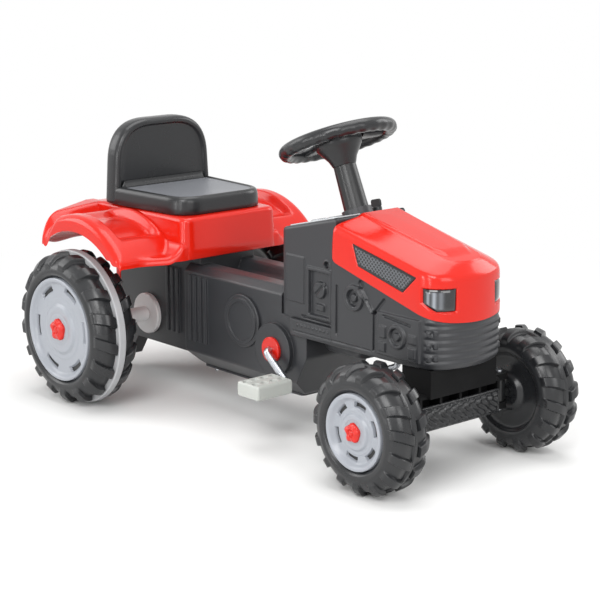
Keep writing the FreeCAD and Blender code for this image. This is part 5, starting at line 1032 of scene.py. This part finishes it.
def hornOutline(grow, count):
    # oval, a little fuller than an ellipse, with both of its halves made larger by grow
    wide, long = steering["hornWide"] + grow, steering["hornLong"] + grow
    angle = fullTurn(count)
    return np.stack([wide * np.cos(angle), long * flattened(np.sin(angle), 0.9)], 1)


def steeringRim(count=216, around=32):
    # a ring of round section with shallow finger waves on its lower outside
    t, p = fullTurn(count)[:, None], fullTurn(around)[None]
    grip = steering["grip"] - 0.3 + 0.5 * np.cos(steering["waves"] * t) * np.clip(-np.sin(p - 0.5), 0, 1)
    radius = steering["rim"] + grip * np.cos(p)
    return onColumn(np.dstack([radius * np.cos(t), radius * np.sin(t), grip * np.sin(p)])), True, True


def steeringSpoke(angle, count=30, around=36):
    # flat oval section carried from the hub to the rim, wider at both ends
    s, p = np.linspace(0, 1, count)[:, None], fullTurn(around)[None]
    reach = steering["hub"] - 2 + s * (steering["rim"] - steering["hub"] + 2)
    half = steering["spokeHalf"] + 5 * (1 - smoothStep(s / 0.35)) + 4 * smoothStep((s - 0.7) / 0.3)
    ends = np.where((s > 0) & (s < 1), 1.0, 0.0)
    side = half * flattened(np.cos(p), 0.6) * ends
    up = steering["spokeThick"] * flattened(np.sin(p), 0.7) * ends + 2 - 2 * s
    turn = math.radians(angle)
    x = -reach * math.cos(turn) + side * math.sin(turn)
    y = -reach * math.sin(turn) - side * math.cos(turn)
    return onColumn(np.dstack([x, y, up])), False, True


def steeringHub(count=120):
    # round body from its foot up to a rounded top, then in to the horn's oval pocket and down to its floor
    s = steering
    hub, foot, drop, top, bore = (s[k] for k in ("hub", "foot", "footDrop", "hubTop", "bore"))
    angle = fullTurn(count)
    ring = np.stack([np.cos(angle), np.sin(angle)], 1)
    oval = hornOutline(0.4, count)
    body = (
        (0, -drop), (5.2, -drop), (foot - 1.5, -drop), (foot, -drop + 2), (23, -30), (hub - 3, -13),
        (hub - 0.6, -9), (hub, -4), (hub, 6), (hub - 0.8, 9.5), (hub - 2.6, 11.4), (hub - 5, top),
    )
    rows = [(ring * radius, z) for radius, z in body] + [(oval, z) for z in (top - 0.2, 6, 2.4)]
    rows += [(ring * radius, z) for radius, z in ((bore, 2.4), (bore, -6), (0, -6))]
    return onColumn(stacked(rows, count)), False, True


def hornPad(count=120):
    # oval pad: straight skirt, rounded edge, low dome
    foot, top = steering["hornFoot"], steering["hornTop"]
    edge = ((1, 6.5), (0.985, 4.4), (0.94, 2.6), (0.86, 1.4), (0.72, 0.6), (0.5, 0.2), (0.25, 0), (0, 0))
    outline = hornOutline(0, count)
    rows = [(outline * 0, foot), (outline, foot)] + [(outline * share, top - below) for share, below in edge]
    return onColumn(stacked(rows, count)), False, True


def hornSpring(count=240, around=10):
    # round wire carried along a helix, closed at both ends
    s = steering
    t = np.concatenate([[0], np.linspace(0, 1, count), [1]])[:, None]
    p = fullTurn(around)[None]
    wire = np.full_like(t, s["wire"])
    wire[[0, -1]] = 0
    turn = 2 * np.pi * s["turns"] * t
    radius = s["coil"] + wire * np.cos(p)
    z = s["coilFoot"] + (s["coilTop"] - s["coilFoot"]) * t + wire * np.sin(p)
    return onColumn(np.dstack([radius * np.cos(turn), radius * np.sin(turn), z])), False, True


wheelSheets = [steeringRim(), steeringHub()] + [steeringSpoke(angle) for angle in steering["spokes"]]
putPiece("steeringWheel", wheelSheets, "blackGrainedPp", "steering", ("steering_wheel",), 40)
putPiece("hornPad", [hornPad()], "redMouldedPp", "horn", ("horn_button",), 50)
coil = [hornSpring()]
spring = putPiece("hornSpring", coil, "zincPlatedSteel", "steering", ("horn_spring",), 60)
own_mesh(spring)
print("steering wheel moulded")

# front beam's moulded face

beam = {
    "half": 85, "foot": 79, "top": 117, "face": 401.2, "back": 3, "lump": 4.4, "pitch": (17, 15),
    "border": 1.6,
}


def beamFace(rows=60, columns=220):
    # plate over the beam's front: crossed cosine waves make rounded lumps, with a raised border round them
    b = beam
    half, foot, top = b["half"], b["foot"], b["top"]
    z, y = np.meshgrid(np.linspace(foot, top, rows), np.linspace(-half, half, columns), indexing="ij")
    edge = np.minimum.reduce([z - foot, top - z, half - np.abs(y)])
    wave = 2 * np.pi * (y + 5 * np.sin(z / 5)) / b["pitch"][0]
    lump = np.cos(wave) * np.cos(2 * np.pi * (z - foot) / b["pitch"][1] + 0.12 * y)
    rise = 0.6 + smoothStep((edge - 3) / 3) * b["lump"] * (0.5 + 0.5 * lump)
    rise = rise + b["border"] * smoothStep(edge / 2) * smoothStep((4 - edge) / 2)
    back = np.full_like(y, b["face"] - b["back"])
    return twoFaced(np.dstack([b["face"] + rise, y, z]), np.dstack([back, y, z]))


putPiece("beamFace", [beamFace()], "pittedBlackPp", "chassis", (), 60)
# the beam's body under the nose is near-black, painted shade
nodes["front_axle_beam"].data.materials[0] = finish["shadeBlackPp"]
print("beam faced")

# pedals

pedal = {
    "from": 103.2, "to": 175, "half": 26, "thick": 12, "round": 6, "endRound": 4, "dimple": 6.6, "deep": 4.0,
    "rows": (-11, 11), "columns": 4,
}


def pedalBlock(x0, z0, stations=90, count=170):
    # rounded block: a rounded rectangle for each station across, drawn in at both ends, with rows of dimples
    p = pedal
    start, stop = p["from"], p["to"]
    y = np.concatenate([[start, start], np.linspace(start + 0.4, stop - 0.4, stations), [stop, stop]])
    drawn = p["endRound"] * edgeDrop(np.minimum(y - start, stop - y), p["endRound"])
    loop = smoothLoop(fourCorners(-p["half"], p["thick"], p["half"], p["thick"]), p["round"], count)
    flat = loop[None] + leftOf(loop)[None] * drawn[:, None, None]
    flat[[0, -1]] = 0
    columns = start + (stop - start) * (np.arange(p["columns"]) + 0.5) / p["columns"]
    places = np.array([(x, column) for x in p["rows"] for column in columns])
    off = np.sqrt((flat[..., 0, None] - places[:, 0]) ** 2 + (y[:, None, None] - places[:, 1]) ** 2).min(-1)
    dent = p["deep"] * smoothStep((p["dimple"] - off) / 1.6) * (np.abs(flat[..., 1]) > p["thick"] - 1)
    z = flat[..., 1] - np.sign(flat[..., 1]) * dent
    return np.dstack([x0 + flat[..., 0], np.broadcast_to(y[:, None], z.shape), z0 + z]), False, True


def shadedDimpleFloors(level):
    # picks the dimples' floors, which get a dark finish as painted shade in the hollows
    floor = pedal["thick"] - pedal["deep"] / 2
    return lambda place, normal: (np.abs(normal[:, 2]) > 0.8) & (np.abs(place[:, 2] - level) < floor)


for side in ("left", "right"):
    node = f"pedal_{side}"
    low, high = (np.array(corner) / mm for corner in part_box(node))
    x, level = ((low + high) / 2)[[0, 2]]
    sheets = dict(bothSides(pedalBlock(x, level)))[side]
    block = putPiece(f"pedalBlock_{side}", sheets, "paleMouldedPp", node, (node,), 40)
    # the dimples' floors are dark grey, painted shade
    dressPart(block, "grilleMouldedPp", shadedDimpleFloors(level))
print("pedals moulded")

# stage

studio = {
    "azimuth": 48.75, "elevation": 13.0, "distance": 2871, "target": (10, 24, 196), "lens": 104,
    "aim": (0, 0, 230), "skyLight": 0.42, "floorHalf": 9, "fade": (0.55, 1.5),
    "lamps": (    # name, place, width, height and watts
        ("key", (1500, -2300, 2300), 1500, 1500, 50), ("fill", (-2300, -1700, 1500), 1600, 1600, 24),
        ("top", (0, 300, 3000), 2400, 2400, 52), ("rim", (900, 2600, 1700), 1500, 1500, 24),
        ("front", (2700, -500, 1300), 1400, 1400, 20), ("stripRight", (-150, -2500, 520), 170, 1000, 8),
        ("stripFront", (950, -2400, 520), 150, 1000, 8),
    ),
}


def aimed(obj, place, target):
    # set at a place in mm and turned so that its own -z points at the target
    obj.location = [c * mm for c in place]
    way = np.array(target, float) - np.array(place, float)
    yaw = math.atan2(way[1], way[0]) - math.pi / 2
    pitch = math.atan2(way[2], math.hypot(way[0], way[1])) + math.pi / 2
    obj.rotation_euler = (pitch, 0, yaw)


def seenRays(tree):
    # 1 for the rays that show the background: straight to the camera, through clear pieces or off bright ones
    rays = addNode(tree, "ShaderNodeLightPath")
    seen = rays.outputs["Is Camera Ray"]
    for name in ("Is Transmission Ray", "Is Glossy Ray"):
        links = {0: seen, 1: rays.outputs[name]}
        seen = addNode(tree, "ShaderNodeMath", {"operation": "MAXIMUM"}, links).outputs["Value"]
    return seen


az, el = math.radians(studio["azimuth"]), math.radians(studio["elevation"])
look = np.array([math.sin(az) * math.cos(el), -math.cos(az) * math.cos(el), math.sin(el)])
camera = bpy.data.objects.new("camera", bpy.data.cameras.new("camera"))
camera.data.lens = studio["lens"]
camera.data.clip_end = 40
bpy.context.scene.collection.objects.link(camera)
aimed(camera, np.array(studio["target"]) + look * studio["distance"], studio["target"])
bpy.context.scene.camera = camera
for name, place, wide, tall, watts in studio["lamps"]:
    lamp = bpy.data.objects.new(name, bpy.data.lights.new(name, "AREA"))
    lamp.data.energy = watts
    lamp.data.shape = "RECTANGLE"
    lamp.data.size, lamp.data.size_y = wide * mm, tall * mm
    bpy.context.scene.collection.objects.link(lamp)
    aimed(lamp, place, studio["aim"])

world = bpy.data.worlds.new("studio")
bpy.context.scene.world = world
world.use_nodes = True
sky = world.node_tree
sky.nodes.clear()
span = {"To Min": studio["skyLight"], "To Max": 1.0}
level = addNode(sky, "ShaderNodeMapRange", span, {"Value": seenRays(sky)})
glow = addNode(sky, "ShaderNodeBackground", {"Color": (1, 1, 1, 1)}, {"Strength": level.outputs["Result"]})
addNode(sky, "ShaderNodeOutputWorld", None, {"Surface": glow.outputs["Background"]})

studioFloor = bpy.data.materials.new("paintedStudioFloor")    # matt white, plain white far from the object
studioFloor.use_nodes = True
paint = studioFloor.node_tree
paint.nodes.clear()
spot = addNode(paint, "ShaderNodeTexCoord").outputs["Object"]
away = addNode(paint, "ShaderNodeVectorMath", {"operation": "LENGTH"}, {0: spot}).outputs["Value"]
near, far = studio["fade"]
span = {"interpolation_type": "SMOOTHSTEP", "From Min": near, "From Max": far}
fade = addNode(paint, "ShaderNodeMapRange", span, {"Value": away}).outputs["Result"]
much = addNode(paint, "ShaderNodeMath", {"operation": "MULTIPLY"}, {0: fade, 1: seenRays(paint)})
matt = addNode(paint, "ShaderNodeBsdfDiffuse", {"Color": toLinear("#f1f1f0")})
white = addNode(paint, "ShaderNodeEmission", {"Color": (1, 1, 1, 1), "Strength": 1.0})
both = addNode(paint, "ShaderNodeMixShader", None,
               {0: much.outputs["Value"], 1: matt.outputs["BSDF"], 2: white.outputs["Emission"]})
addNode(paint, "ShaderNodeOutputMaterial", None, {"Surface": both.outputs["Shader"]})
half = studio["floorHalf"]
floorMesh = bpy.data.meshes.new("studioFloor")
floorMesh.from_pydata([(*corner, 0) for corner in fourCorners(-half, half, half, half)], [], [(0, 1, 2, 3)])
floorMesh.materials.append(studioFloor)
floorPiece = bpy.data.objects.new("studioFloor", floorMesh)
bpy.context.scene.collection.objects.link(floorPiece)
bpy.context.scene.view_settings.view_transform = "Standard"
print("studio set")
